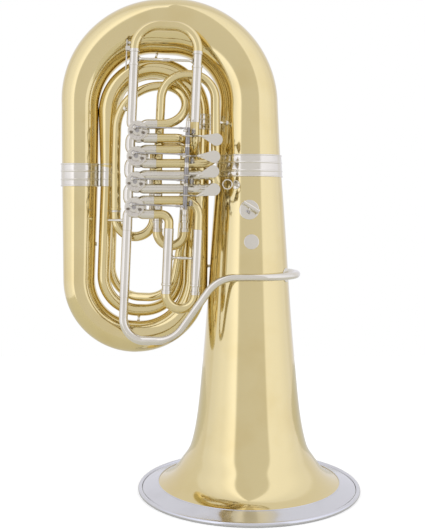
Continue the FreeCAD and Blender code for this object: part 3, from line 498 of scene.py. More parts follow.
ferrules = {
    "bellFerrule": {
        "node": "bell_ferrule", "foot": (0, 0, 632.5), "head": (0, 0, 677.5),
        "radius": (67.5, 65.2), "wall": 1.3, "rib": 1.1, "ribWidth": 1.6,
        "ribs": (0.03, 0.27, 0.64, 0.97),
    },
    "outerBranchFerrule": {
        "node": "outer_branch_ferrule", "foot": (-344.3, 0, 614.0), "head": (-344.0, 0, 661.0),
        "radius": (36.85, 37.15), "wall": 1.3, "rib": 1.1, "ribWidth": 1.6,
        "ribs": (0.03, 0.3, 0.66, 0.97),
    },
    "upperBranchFerrule": {
        "node": "upper_branch_ferrule", "foot": (-102.6, 0, 729.0), "head": (-102.4, 0, 761.0),
        "radius": (23.85, 23.7), "wall": 1.2, "rib": 1.0, "ribWidth": 1.4,
        "ribs": (0.04, 0.35, 0.65, 0.96),
    },
    "secondBranchFerrule": {
        "node": "second_branch_ferrule", "foot": (-288.4, 0, 614.0), "head": (-287.5, 0, 661.0),
        "radius": (14.5, 14.75), "wall": 0.9, "rib": 0.6, "ribWidth": 1.3,
        "ribs": (0.03, 0.33, 0.67, 0.97),
    },
}
for name, part in ferrules.items():
    makePiece(name, [ferruleShell(part)], "horn", nickel, [part["node"]])
thirdFerrules = [
    {"foot": (-279.5, 27, 577.0), "head": (-278.7, 27, 603.0), "radius": (8.95, 8.95),
     "wall": 0.9, "rib": 0.6, "ribWidth": 1.2, "ribs": (0.05, 0.95), "columns": 48},
    {"foot": (-117.28, 36.42, 743.05), "head": (-115.32, 37.58, 766.95), "radius": (9.5, 9.5),
     "wall": 0.9, "rib": 0.6, "ribWidth": 1.2, "ribs": (0.05, 0.95), "columns": 48},
]
makePiece("thirdBranchFerrules", [ferruleShell(part) for part in thirdFerrules],
          "horn", nickel, ["third_branch_ferrules"])
print("ferrules made")

# the large branches

branches = {
    "bigBow": {
        "node": "big_bow", "line": [(0, 0, 655.9), (0, 0, 940.4), (-344, 0, 940.4), (-344, 0, 637.9)],
        "bends": [160, 160], "radius": [65.4, 59.6, 57.2, 55.6, 37.6, 36.8], "wall": 0.9,
        "columns": 112, "arcStep": 2.0,
    },
    "outerBranch": {
        "node": "outer_branch",
        "line": [(-344, 0, 637), (-347.4, 0, 308.8), (-111.4, 0, 308.8), (-102.4, 0, 745)],
        "bends": [116, 116], "radius": [36.7, 32.2, 32.0, 31.6, 25.2, 23.7], "wall": 0.9,
        "columns": 88, "arcStep": 2.5,
    },
    "secondTopBow": {
        "node": "second_top_bow",
        "line": [(-102.4, 0, 745.9), (-102.4, 0, 856.7), (-285.5, 0, 856.7), (-287.7, 0, 637.9)],
        "bends": [92, 92], "radius": [23.6, 23.4, 20.6, 20.2, 15.0, 14.4], "wall": 0.9,
        "columns": 64, "arcStep": 2.5,
    },
    "secondBranch": {
        "node": "second_branch",
        "line": [(-287.7, 0, 637), (-299.2, 0, 361), (-148.5, 18, 361), (-116.3, 37, 755)],
        "bends": [72, 72], "radius": [14.2, 12.9, 12.3, 12.2, 11.2, 9.4], "wall": 0.9,
        "columns": 56, "arcStep": 3.0,
    },
    "thirdTopBow": {
        "node": "third_top_bow",
        "line": [(-116.2, 37, 755.9), (-114.7, 38, 774.9), (-114.7, 38, 845.6),
                 (-271.5, 27, 845.6), (-279.1, 27, 590.9)],
        "bends": [60, 66, 74], "radius": 8.8, "wall": 0.6, "columns": 40,
    },
    "thirdBottomBow": {
        "node": "third_bottom_bow",
        "line": [(-279.1, 27, 590), (-285.6, 27, 388.1), (-157.6, -10, 388.1),
                 (-114, -34.5, 625.6)],
        "bends": [62, 62], "radius": 8.8, "wall": 0.6, "columns": 40,
    },
    "mainSlideReceiver": {
        "node": "main_slide_receiver",
        "line": [(-108.0, -78, 745.7), (-109.9, -78, 699.7), (-109.5, -37, 650),
                 (-113.8, -34.6, 626.5)],
        "bends": [26, 26], "radius": 8.95, "wall": 0.6, "columns": 40,
    },
}
for name, part in branches.items():
    makePiece(name, [pipeShell(part)], "horn", brass, [part["node"]])
print("branches made")

# fixed tubes of the valve section

tube = {"radius": 8.95, "wall": 0.6, "columns": 40}
sleeve = {"radius": 9.75, "wall": 0.7, "columns": 44}
fixedTubes = {
    "valveOneTubes": ("valve1_tubes", [
        ([(-195.3, -78, 585.6), (-99.7, -78, 585.6), (-102.4, -78, 520.6)], [30]),
        ([(-195.3, -78, 558.6), (-157.9, -78, 558.6), (-159.4, -78, 523)], [17]),
    ]),
    "valveThreeTubes": ("valve3_tubes", [
        ([(-191.1, -78, 684.7), (-129.2, -78, 684.7), (-129.2, -56, 684.7), (-129.2, -56, 597)],
         [10.8, 10.8]),
        ([(-191.1, -78, 657.7), (-68.5, -78, 657.7), (-68.5, -57, 775), (-68.5, -56, 834.7),
          (-173.3, -56, 834.7), (-182.6, -56, 640), (-182.6, -56, 597)], [24, 60, 50, 50, 100]),
    ]),
    "valveFourTubes": ("valve4_tubes", [
        ([(-189, -78, 734.2), (-127, -78, 734.2), (-127, -34, 815.1), (-263, -34, 815.1),
          (-267.3, -34, 670), (-267.3, -34, 632)], [46.03, 46.03, 88, 100]),
        ([(-189, -78, 707.2), (-129.5, -78, 707.2), (-129.5, -34, 699), (-191.1, -34, 695),
          (-191.1, -34, 632)], [20, 20, 22]),
    ]),
}
for name, (node, runs) in fixedTubes.items():
    shells = [pipeShell({**tube, "line": line, "bends": bends}) for line, bends in runs]
    makePiece(name, shells, "horn", brass, [node])


def sleeveEnd(mouth, way):  # rolled collar at a sleeve's open mouth
    return turnedShell(
        [(9.6, -5.0), (10.3, -4.6), (10.55, -3.0), (10.55, -0.9), (10.2, 0.0), (9.2, 0.0)],
        mouth, way, columns=44)


slideSleeves = [
    [(-159.06, -78, 531.0), (-163.75, -78, 419.1)],
    [(-102.11, -78, 528.6), (-106.8, -78, 416.7)],
    [(-182.6, -56, 605), (-182.6, -56, 541)], [(-129.2, -56, 605), (-129.2, -56, 541)],
    [(-191.1, -34, 640), (-191.1, -34, 566)],
]
farSleeve = [(-267.3, -34, 640), (-267.3, -34, 566)]
port = {"radius": 12.0, "level": 13.5, "bend": 10.0, "sides": (1, -1)}


def portRun(k, side, endX):
    # leaves a casing half way between its right and its top (1) or foot (-1), then runs level
    centre = onValve(k, 0, 0, 0)
    way = unit(sectionRight + side * sectionUp)
    corner = centre + way * (side * port["level"] / way[2])
    return [centre + port["radius"] * way, corner, (endX, corner[1], corner[2])], [port["bend"]]


valveTwoPorts = [portRun(1, side, -97.0) for side in port["sides"]]
shells = [pipeShell({**sleeve, "line": line, "bends": []}) for line in slideSleeves]
shells += [pipeShell({**sleeve, "line": line, "bends": bends}) for line, bends in valveTwoPorts]
shells += [sleeveEnd(line[1], np.subtract(line[1], line[0])) for line in slideSleeves]
shells += [sleeveEnd(line[-1], (1, 0, 0)) for line, _ in valveTwoPorts]
makePiece("valveSlideSleeves", shells, "horn", nickel, ["valve_slide_sleeves"])
makePiece("farSlideSleeve",
          [pipeShell({**sleeve, "line": farSleeve, "bends": []}),
           sleeveEnd(farSleeve[1], (0, 0, -1))],
          "horn", brass)

mainSleeves = [
    {**sleeve, "line": [(-108.33, -78, 737.7), (-103.68, -78, 848.6)], "bends": []},
    {**sleeve, "line": [(-227.2, -78, 729.6), (-232, -78, 734.8), (-226.97, -78, 853.8)],
     "bends": [10]},
]
shells = [pipeShell(part) for part in mainSleeves]
shells += [sleeveEnd(part["line"][-1], sectionUp) for part in mainSleeves]
makePiece("mainSlideSleeves", shells, "horn", nickel, ["main_slide_sleeves"])

# each knuckle leaves one casing at its upper left, runs up beside it and enters the next
knuckle = {"out": -14.2, "corner": 16.2, "mouth": (-8.8, 9.5), "bend": 12.0, "portReach": 38.0}
mouthX, mouthZ = knuckle["mouth"]
knuckles = [
    ([onValve(k, mouthX, 0, mouthZ), onValve(k, knuckle["out"], 0, knuckle["corner"]),
      onValve(k + 1, knuckle["out"], 0, -knuckle["corner"]), onValve(k + 1, mouthX, 0, -mouthZ)],
     [knuckle["bend"]] * 2)
    for k in range(3)
]
knuckles += [portRun(k, side, onValve(k, 0, 0, 0)[0] + knuckle["portReach"])
             for k in (0, 2, 3) for side in port["sides"]]
knuckles.append(([(-234.1, -78, 563.9), (-239.3, -78, 559.1), (-240.6, -78, 527.7)], [10]))
shells = [pipeShell({**sleeve, "line": line, "bends": bends}) for line, bends in knuckles]
makePiece("valveKnuckles", shells, "horn", nickel, ["valve_knuckles"])
print("valve tubing made")

# slides: nickel running legs below a brass bow

leg = {"radius": 9.0, "wall": 0.6, "columns": 40}
bow = {"radius": 9.65, "wall": 0.53, "columns": 48, "arcStep": 3.0}
slides = {
    "main_slide": {
        "nodes": ("main_slide_legs", "main_slide_bow"), "away": sectionUp,
        "mouths": [(-226.97, -78, 853.78), (-103.68, -78, 848.62)],
        "insert": 75, "exposed": 22, "ferrule": 6.0,
        "line": [(-226.05, -78, 875.8), (-223.8, -78, 929.7), (-100.5, -78, 924.5),
                 (-102.76, -78, 870.6)], "bends": [47, 47],
    },
    "valve1_slide": {
        "nodes": ("valve1_slide_legs", "valve1_slide_bow"), "away": sectionDown,
        "mouths": [(-163.75, -78, 419.1), (-106.8, -78, 416.7)],
        "insert": 70, "exposed": 9, "ferrule": 6.8,
        "line": [(-164.13, -78, 410.1), (-165.6, -78, 374.6), (-108.7, -78, 372.3),
                 (-107.18, -78, 407.7)], "bends": [28.5, 28.5],
    },
    "valve2_slide": {
        "nodes": ("valve2_slide_legs", "valve2_slide_bow"), "away": np.array([1.0, 0, 0]),
        "mouths": [(-97, -78, 635.1), (-97, -78, 608.1)],
        "insert": 60, "exposed": 9, "ferrule": 6.8,
        "line": [(-88, -78, 635.1), (-67.5, -78, 635.1), (-67.5, -78, 608.1), (-88, -78, 608.1)],
        "bends": [13.5, 13.5],
    },
    "valve3_slide": {
        "nodes": ("valve3_slide_legs", "valve3_slide_bow"), "away": np.array([0, 0, -1.0]),
        "mouths": [(-182.6, -56, 541), (-129.2, -56, 541)],
        "insert": 36, "exposed": 11, "ferrule": 6.8,
        "line": [(-182.6, -56, 530), (-182.6, -56, 496.3), (-129.2, -56, 496.3),
                 (-129.2, -56, 530)], "bends": [26.7, 26.7],
    },
    "valve4_slide": {
        "nodes": ("valve4_slide_legs", "valve4_slide_bow"), "away": np.array([0, 0, -1.0]),
        "mouths": [(-267.3, -34, 566), (-191.1, -34, 566)],
        "insert": 45, "exposed": 7.6, "ferrule": 3.0,
        "line": [(-267.3, -34, 565.2), (-267.3, -34, 513.3), (-191.1, -34, 513.3),
                 (-191.1, -34, 558.4)], "bends": [38.1, 38.1],
    },
}
mainBrace = {"height": 216.0, "left": -13.5, "span": 123.4, "tube": 9.1}
hiddenLeg = 6.0  # a leg runs on this far inside its bow
plainBrace = {"foot": 5.6, "bar": 2.4, "middle": 3.4}


def braceShell(a, b, look=plainBrace):
    # a waisted bar with a flared foot at each end and a turned middle
    a, b = np.array(a, float), np.array(b, float)
    foot, bar, middle = look["foot"], look["bar"], look["middle"]
    length = np.linalg.norm(b - a)
    half = [
        (0, 0), (foot, 0), (foot, 0.8), (bar + 1.0, 2.6), (bar, 6.0), (bar, length / 2 - 9),
        (middle, length / 2 - 7.5),
    ]
    mirrored = [(radius, length - height) for radius, height in half[::-1]]
    return turnedShell(half + mirrored, a, b - a, columns=28, openEnds=True)


def bowFerrule(end, away, length):
    # a beaded nickel ring round the start of a slide's bow
    outline = [(9.7, -0.2), (10.2, 0.0), (10.35, 0.3), (10.35, 2.3), (10.1, 2.6),
               (10.1, length - 0.3), (9.8, length), (9.7, length)]
    return turnedShell(outline, end, away, columns=44)


def pieceName(body, ending):  # main_slide and Legs give mainSlideLegs
    first, *others = body.split("_")
    return first + "".join(word.capitalize() for word in others) + ending


for body, part in slides.items():
    away = part["away"]
    legs = []
    for mouth in part["mouths"]:
        mouth = np.array(mouth, float)
        hidden = mouth - away * part["insert"]
        legs.append(pipeShell(
            {**leg, "line": [hidden, mouth + away * (part["exposed"] + hiddenLeg)], "bends": []}))
    if body == "main_slide":
        left = leaning(mainBrace["left"], 0, mainBrace["height"])
        right = left + mainBrace["span"] * sectionRight
        clear = mainBrace["tube"] * sectionRight
        legs.append(braceShell(left + clear, right - clear))
    legs += [bowFerrule(part["line"][i], away, part["ferrule"]) for i in (0, -1)]
    makePiece(pieceName(body, "Legs"), legs, body, nickel, [part["nodes"][0]])
    bend = pipeShell({**bow, "line": part["line"], "bends": part["bends"]})
    makePiece(pieceName(body, "Bow"), [bend], body, brass, [part["nodes"][1]])
print("slides made")

# leadpipe and mouthpiece receiver

leadpipe = {
    "line": [(57.3, 89, 436), (114.4, 7.5, 436), (59.5, -98, 436), (-63.2, -98, 436),
             (-150, -98, 314), (-249.7, -78, 312), (-240.3, -78, 535.7)],
    "bends": [98, 98, 66, 60, 42],
    "radius": [6.8, 7.0, 7.0, 7.0, 7.4, 7.4, 8.0, 8.0, 8.6, 8.6, 8.95],
    "wall": 0.6, "columns": 44,
}
riserSleeve = {
    "line": [(-246.1, -78, 397), (-240.64, -78, 527.4)], "bends": [], "radius": 9.5, "wall": 0.45,
    "columns": 44,
}
makePiece("leadpipe", [pipeShell(leadpipe), pipeShell(riserSleeve)], "horn", nickel,
          ["leadpipe"])
receiver = {
    "foot": (64.15, 79.24, 436), "way": (-0.573576, 0.819152, 0),
    "outline": [
        (6.95, 0), (8.3, 0), (8.6, 0.5), (8.6, 18), (9.0, 19), (9.0, 21), (8.6, 22), (8.6, 46),
        (9.6, 47.2), (10.2, 48.5), (10.2, 56.8), (9.8, 58), (6.9, 58), (6.6, 57.6), (6.6, 14),
        (6.1, 14), (6.1, 12), (6.95, 12),
    ],
}
makePiece("mouthpieceReceiver",
          [turnedShell(receiver["outline"], receiver["foot"], receiver["way"], columns=56)],
          "horn", nickel, ["mouthpiece_receiver"])
print("leadpipe made")

# valve casings, caps and stop work

casing = {
    "front": -17.0, "screwCircle": 14.4, "screwAngles": (28.0, 62.0, 118.0, 152.0),
    "corkCircle": 12.6, "corkAngles": (-163.0, -17.0),
}
stopLand = {"inner": 10.6, "outer": 17.4, "height": 0.9, "halfAngle": 84.0}
stopArm = {"face": -18.5, "screwSeat": -21.5, "crank": 6.746, "crankAngle": 135.0, "linkDepth": -30.0}


def onFace(k, circle, degrees, depth):  # a point on valve k's front, at an angle round it
    angle = math.radians(degrees)
    return onValve(k, circle * math.cos(angle), depth, circle * math.sin(angle))


def arcOutline(inner, outer, start, end, count=40):
    # a ring sector: outer arc one way, inner arc back
    a = np.radians(np.linspace(start, end, count))
    way = np.stack([np.cos(a), np.sin(a)], -1)
    return np.concatenate([way * outer, way[::-1] * inner])


def ribbonPad(outline, height, origin):
    # a thin raised land on a valve's face, closed across by the two ends of its ring sector
    half = len(outline) // 2
    outer, inner = outline[:half], outline[half:][::-1]
    levels = []
    for edge, rise in ((outer, 0.0), (outer, height), (inner, height), (inner, 0.0)):
        levels.append(np.asarray(origin, float) + edge[:, :1] * sectionRight
                      + edge[:, 1:] * sectionUp + rise * towardsFront)
    surface = np.stack(levels, 1)
    ends = np.repeat(surface.mean(1, keepdims=True), 4, 1)
    return gridShell(np.concatenate([ends[:1], surface, ends[-1:]]), closeRows=False)


def roundedOutline(points, radius, count=6):
    # a polygon's corners rounded by short arcs drawn as quadratic curves
    p = np.array(points, float)
    before, after = np.roll(p, 1, 0), np.roll(p, -1, 0)
    t = np.linspace(0, 1, count)[None, :, None]
    a = p + unit(before - p) * radius
    b = p + unit(after - p) * radius
    curve = (1 - t) ** 2 * a[:, None] + 2 * t * (1 - t) * p[:, None] + t**2 * b[:, None]
    return curve.reshape(-1, 2)


casingOutline = [
    (4.15, -17.0), (18.1, -17.0), (18.7, -16.75), (19.0, -16.2), (19.0, -13.2), (18.65, -13.0),
    (18.65, -12.5), (19.0, -12.3), (19.0, 11.0), (18.65, 11.2), (18.65, 11.7), (19.0, 11.9),
    (19.0, 17.0), (17.45, 17.0), (17.45, -14.0), (4.15, -14.0),
]
bearingOutline = [(4.1, 13.0), (17.4, 13.0), (17.4, 15.8), (4.1, 15.8)]
capRing = [(4.3, 0.0), (4.3, 0.45), (9.9, 0.45), (10.2, 0.0)]
capScrew = [(0, 0), (1.25, 0), (1.25, 0.35), (0.9, 0.6), (0, 0.65)]
corkOutline = [(0, 0), (2.3, 0), (2.6, 0.3), (2.6, 4.5), (2.2, 5.0), (0, 5.0)]
landOutline = arcOutline(stopLand["inner"], stopLand["outer"],
                         -90 - stopLand["halfAngle"], -90 + stopLand["halfAngle"])
casings, faces, corks = [], [], []
for k in range(4):
    centre, front = onValve(k, 0, 0, 0), onValve(k, 0, casing["front"], 0)
    casings.append(turnedShell(casingOutline, centre, toBack, columns=80))
    casings.append(turnedShell(bearingOutline, centre, toBack, columns=64))
    faces.append(ribbonPad(landOutline, stopLand["height"], front))
    faces.append(turnedShell(capRing, front, towardsFront, columns=56))
    for degrees in casing["screwAngles"]:
        spot = onFace(k, casing["screwCircle"], degrees, casing["front"])
        faces.append(turnedShell(capScrew, spot, towardsFront, columns=16, openEnds=True))
    for degrees in casing["corkAngles"]:
        spot = onFace(k, casing["corkCircle"], degrees, casing["front"])
        corks.append(turnedShell(corkOutline, spot, towardsFront, columns=24, openEnds=True))
makePiece("valveCasings", casings, "horn", nickel, ["valve_casings"])
makePiece("valveCapFaces", faces, "horn", stippled)
makePiece("stopCorks", corks, "horn", cork, ["stop_corks"])

armRing = [(4.1, 0.0), (9.0, 0.0), (9.2, 0.25), (9.2, 2.1), (8.7, 2.6), (7.2, 2.7), (6.9, 3.0),
           (4.1, 3.0)]
earTurn = math.radians(45.0)
turning = [[math.cos(earTurn), math.sin(earTurn)], [-math.sin(earTurn), math.cos(earTurn)]]
earCorners = [(-2.6, -7.0), (2.6, -7.0), (2.6, -14.6), (-2.6, -14.6)]
earOutline = roundedOutline(earCorners, 1.6) @ np.array(turning)
earLayers = [(0.4, 0.0), (0, 0.4), (0, 2.5), (0.4, 2.9)]
pinHead = [(0, 0), (2.4, 0), (2.7, 0.3), (2.7, 0.9), (2.2, 1.3), (0, 1.4)]
pin = {"radius": 1.5, "foot": -20.6, "tip": -33.2, "head": -32.0}
screw = {"radius": 4.3, "height": 1.4}
screwHead = [(0, 0), (4.2, 0), (screw["radius"], 0.2), (screw["radius"], screw["height"]),
             (0, screw["height"])]
slotEdge = np.radians(np.linspace(7.5, 172.5, 24))  # the two halves leave the driver's slot open
screwHalf = screw["radius"] * np.stack([np.cos(slotEdge), np.sin(slotEdge)], -1)
halfLayers = [(0, 0.0), (0, 0.8), (0.3, 1.1)]
for k in range(4):
    body = "rotor_%d" % (k + 1)
    face, seat = onValve(k, 0, stopArm["face"], 0), onValve(k, 0, stopArm["screwSeat"], 0)
    foot, tip, head = (onFace(k, stopArm["crank"], stopArm["crankAngle"], pin[depth])
                       for depth in ("foot", "tip", "head"))
    makePiece("stopArm%d" % (k + 1), [
        turnedShell(armRing, face, towardsFront, columns=56),
        padShell(earOutline, earLayers, face, sectionRight, sectionUp),
        barShell({"line": [foot, tip], "bends": [], "radius": pin["radius"]}),
        turnedShell(pinHead, head, towardsFront, columns=28, openEnds=True),
    ], body, nickel, ["stop_arm_%d" % (k + 1)])
    top = seat + screw["height"] * towardsFront
    shells = [turnedShell(screwHead, seat, towardsFront, columns=40, openEnds=True)]
    shells += [padShell(outline, halfLayers, top, sectionRight, sectionUp)
               for outline in (screwHalf, -screwHalf)]
    makePiece("rotorScrew%d" % (k + 1), shells, body, rodMetal)


def knurledShell(outline, knurled, foot, along, ridges, depth, columns=176):
    # a turned form whose marked rows ripple: radius - depth (1 + cos(ridges a)) / 2
    outline = np.array(outline, float)
    along = unit(along)
    side = unit(np.cross(along, (0.31, 0.2, 0.93)))
    lift = np.cross(along, side)
    a = np.linspace(0, 2 * math.pi, columns, endpoint=False)
    ripple = depth * (1 + np.cos(ridges * a)) / 2
    radius = outline[:, :1] - np.array(knurled, float)[:, None] * ripple[None]
    around = np.cos(a)[None, :, None] * side + np.sin(a)[None, :, None] * lift
    return gridShell(np.asarray(foot, float) + outline[:, None, 1:] * along
                     + radius[..., None] * around, closeRows=False)


capOutline = [
    (0.0, 11.6), (20.7, 11.6), (20.7, 15.2), (21.6, 15.6), (21.6, 18.4), (21.0, 18.8),
    (20.3, 20.2), (15.5, 20.4), (15.2, 19.4), (9.0, 19.2), (8.6, 20.4), (7.0, 21.4), (3.0, 21.7),
    (0.0, 21.7),
]
capKnurl = [row in (3, 4) for row in range(len(capOutline))]  # the rows that ripple
makePiece("rearCaps", [
    knurledShell(capOutline, capKnurl, onValve(k, 0, 0, 0), toBack, ridges=44, depth=0.5)
    for k in range(4)
], "horn", nickel, ["rear_caps"])
print("valve casings made")

# valve action: paddles on one axle, link rods to the stop arms

action = {"axleX": 97.8, "axleY": -18.0, "lever": (-4.770, -24.541), "linkRise": 5.758}
plate = {"depth": -39.0, "radius": 12.0, "tailRadius": 2.2, "tail": 20.0}
arm = {"straight": 9.0, "knee": 24.0, "bend": 6.0, "radius": 1.9}
finger = {"start": 6.0, "end": -12.0, "depth": -23.4, "radius": [1.5, 1.2]}
paddles = [
    {"foot": -77.5, "head": -26.8, "arm": -47.4, "plate": (152.8, -33.9), "spring": -62.0,
     "reach": 31.0},
    {"foot": -26.3, "head": 9.3, "arm": -8.6, "plate": (149.4, 0.3), "spring": -20.5,
     "reach": 31.0},
    {"foot": 13.3, "head": 48.4, "arm": 29.2, "plate": (150.1, 28.6), "spring": 20.2,
     "reach": 30.0},
    {"foot": 48.9, "head": 86.5, "arm": 67.4, "plate": (153.5, 61.5), "spring": 76.5,
     "reach": 28.0},
]
plateLayers = [(0.7, -1.0), (0.2, -0.8), (0, -0.4), (0, 0.4), (0.2, 0.8), (0.7, 1.0), (2.2, 0.85)]
leverDrop = 4.6  # the lever lies this far under its rod
pinDrop = 6.4
leverPin = [(0, 0), (2.9, 0), (3.2, 0.3), (3.2, 3.3), (2.9, 3.6), (1.5, 3.7), (1.5, 8.6),
            (1.2, 8.9), (0, 8.9)]


def teardropOutline(radius, tailRadius, reach, heading, count=40):
    # two circles joined by their outer tangents, which bow in a little
    lift = math.acos((radius - tailRadius) / reach)
    headAngle = np.linspace(-math.pi + lift, math.pi - lift, count)
    tailAngle = np.linspace(math.pi - lift, math.pi + lift, 10)
    head = radius * np.stack([np.cos(headAngle), np.sin(headAngle)], -1)
    tail = tailRadius * np.stack([np.cos(tailAngle), np.sin(tailAngle)], -1) - (reach, 0)
    t = np.linspace(0, 1, 12)[1:-1, None]
    sag = np.sin(math.pi * t) * np.array([0.0, 0.5])
    upper = head[-1] + (tail[0] - head[-1]) * t - sag
    lower = tail[-1] + (head[0] - tail[-1]) * t + sag
    outline = np.concatenate([head, upper, tail, lower])
    c, s = math.cos(heading), math.sin(heading)
    return outline @ np.array([[c, s], [-s, c]])


def onAxle(x, height, depth=action["axleY"]):  # a point x beside the axle
    return leaning(action["axleX"] + x, depth, height)


for k, part in enumerate(paddles):
    body = "paddle_%d" % (k + 1)
    middle = np.array(part["plate"])
    knee = np.array([action["axleX"] + arm["knee"], part["arm"]])
    way = unit(middle - knee)
    tail = middle - way * plate["tail"]
    leverX, leverY = action["lever"]
    leverZ = valveHeight(k) + action["linkRise"]
    drop = leverZ - leverDrop
    outline = teardropOutline(
        plate["radius"], plate["tailRadius"], part["reach"], math.atan2(way[1], way[0]))
    makePiece("paddle%d" % (k + 1), [
        barShell({
            "line": [onAxle(0, part["arm"]), onAxle(arm["straight"], part["arm"]),
                     onAxle(arm["knee"], part["arm"], plate["depth"]),
                     leaning(tail[0], plate["depth"], tail[1])],
            "bends": [arm["bend"]] * 2, "radius": arm["radius"],
        }),
        barShell({
            "line": [onAxle(finger[end], part["arm"], finger["depth"]) for end in ("start", "end")],
            "bends": [], "radius": finger["radius"],
        }),
        padShell(outline, plateLayers, leaning(middle[0], plate["depth"], middle[1]),
                 sectionRight, sectionUp),
        barShell({
            "line": [onAxle(0, drop), onAxle(leverX, drop, action["axleY"] + leverY)],
            "bends": [], "radius": [2.2, 1.8],
        }),
        turnedShell(leverPin, onAxle(leverX, leverZ - pinDrop, action["axleY"] + leverY),
                    sectionUp, columns=28, openEnds=True),
    ], body, nickel, [body])
    length = part["head"] - part["foot"]
    hub = [(2.56, 0.0), (4.7, 0.0), (4.9, 0.3), (4.9, 2.4), (4.5, 2.7), (4.5, length - 2.7),
           (4.9, length - 2.4), (4.9, length - 0.3), (4.7, length), (2.56, length)]
    wrap = [(4.0, 2.8), (4.62, 2.8), (4.62, length - 2.8), (4.0, length - 2.8)]
    foot = onAxle(0, part["foot"])
    makePiece("paddleHub%d" % (k + 1), [turnedShell(hub, foot, sectionUp, columns=40)],
              body, nickel)
    makePiece("paddleSleeve%d" % (k + 1), [turnedShell(wrap, foot, sectionUp, columns=40)],
              body, steel)


def slottedEye(centre, inner, outer, halfSlot, thick):
    # a flat loop round a short slot: inner and outer edges at the front and back face
    a = np.linspace(0, 2 * math.pi, 48, endpoint=False)
    lift = np.where(np.sin(a) >= 0, halfSlot, -halfSlot)
    rows = []
    for radius, depth in ((outer - 0.2, -thick / 2), (outer, -thick / 2 + 0.25),
                          (outer, thick / 2 - 0.25), (outer - 0.2, thick / 2),
                          (inner, thick / 2), (inner, -thick / 2)):
        rows.append(centre + (radius * np.cos(a))[:, None] * sectionRight
                    + (radius * np.sin(a) + lift)[:, None] * sectionUp + depth * toBack)
    return gridShell(np.stack(rows, 1))


slotHalf = 0.988  # the pin slides this far each way in the rod's eye
farRing = [(2.3, -1.5), (3.9, -1.5), (4.1, -1.3), (4.1, 1.3), (3.9, 1.5), (2.3, 1.5)]
for k in range(4):
    linkZ = valveHeight(k) + action["linkRise"]
    nearX = stopArm["crank"] * math.cos(math.radians(stopArm["crankAngle"]))
    near = leaning(nearX, stopArm["linkDepth"], linkZ)
    far = onAxle(action["lever"][0], linkZ, action["axleY"] + action["lever"][1])
    reach = np.linalg.norm(far - near)
    rod = [
        (0, 3.2), (1.7, 3.3), (2.0, 4.6), (2.3, 5.6), (2.3, 11.0), (1.9, 11.6), (1.5, 13.0),
        (1.3, 20.0), (1.5, 40.0), (1.3, reach - 18), (1.5, reach - 12.5), (2.2, reach - 11.6),
        (2.2, reach - 6.6), (1.8, reach - 5.6), (1.6, reach - 3.8), (0, reach - 3.6),
    ]
    makePiece("linkRod%d" % (k + 1), [
        slottedEye(near, 2.0, 3.7, slotHalf, 3.0),
        turnedShell(rod, near, far - near, columns=20, openEnds=True),
        turnedShell(farRing, far, sectionUp, columns=32),
    ], "link_%d" % (k + 1), rodMetal, ["link_%d" % (k + 1)])

spring = {"radius": 4.1, "wire": 0.6, "turns": 4.5, "height": 8.4, "beside": 11.0, "depth": -17.6}


def coilShell(middle, part, columns=10):
    # a helix: the wire circles once a turn while it climbs, with a straight tail at each end
    a = np.linspace(0, 2 * math.pi * part["turns"], int(part["turns"] * 22))[:, None]
    climb = (a / a[-1] - 0.5) * part["height"]
    spots = middle + part["radius"] * (np.cos(a) * sectionRight + np.sin(a) * toBack)
    spots = spots + climb * sectionUp
    lead = spots[0] - unit(spots[1] - spots[0]) * np.array([[7.0], [3.5]])
    trail = spots[-1] + unit(spots[-1] - spots[-2]) * np.array([[3.5], [6.0]])
    spots = np.concatenate([lead, spots, trail])
    ways = unit(np.gradient(spots, axis=0))
    radii = np.full(len(spots), part["wire"])
    order = np.concatenate([[0], np.arange(len(spots)), [len(spots) - 1]])
    radii = radii[order]
    radii[[0, -1]] = 0.0
    return gridShell(ringsAlong(spots[order], ways[order], radii, columns), closeRows=False)


coils, posts = [], []
postOutline = [(0, -5.4), (2.0, -5.4), (2.4, -5.0), (2.4, -4.6), (1.5, -4.4), (1.5, 4.8), (2.3, 5.0),
               (2.3, 5.8), (1.8, 6.2), (0, 6.2)]
postFoot = {"radius": 1.5, "drop": 4.9, "x": 2.0, "depth": -11.0}
for part in paddles:
    spot = onAxle(spring["beside"], part["spring"], spring["depth"])
    coils.append(coilShell(spot, spring))
    posts.append(turnedShell(postOutline, spot, sectionUp, columns=24, openEnds=True))
    root = onAxle(postFoot["x"], part["spring"] - postFoot["drop"], postFoot["depth"])
    posts.append(barShell({"line": [spot - sectionUp * postFoot["drop"], root], "bends": [],
                           "radius": postFoot["radius"], "columns": 16}))
makePiece("returnSprings", coils, "horn", rodMetal)
makePiece("springPosts", posts, "horn", nickel)
finial = [(0, 0), (3.6, 0), (4.1, 0.4), (4.1, 2.0), (3.4, 2.6), (2.4, 3.2), (2.2, 4.2), (3.0, 5.0),
          (3.3, 6.2), (2.8, 7.4), (1.6, 8.2), (0, 8.4)]
footButton = finial[:6] + [(0, 3.4)]
makePiece("axleFinials", [
    turnedShell(finial, onAxle(0, 94.0), sectionUp, columns=36, openEnds=True),
    turnedShell(footButton, onAxle(0, -84.0), sectionDown, columns=36, openEnds=True),
], "horn", nickel)
print("action made")

# fittings on the bell


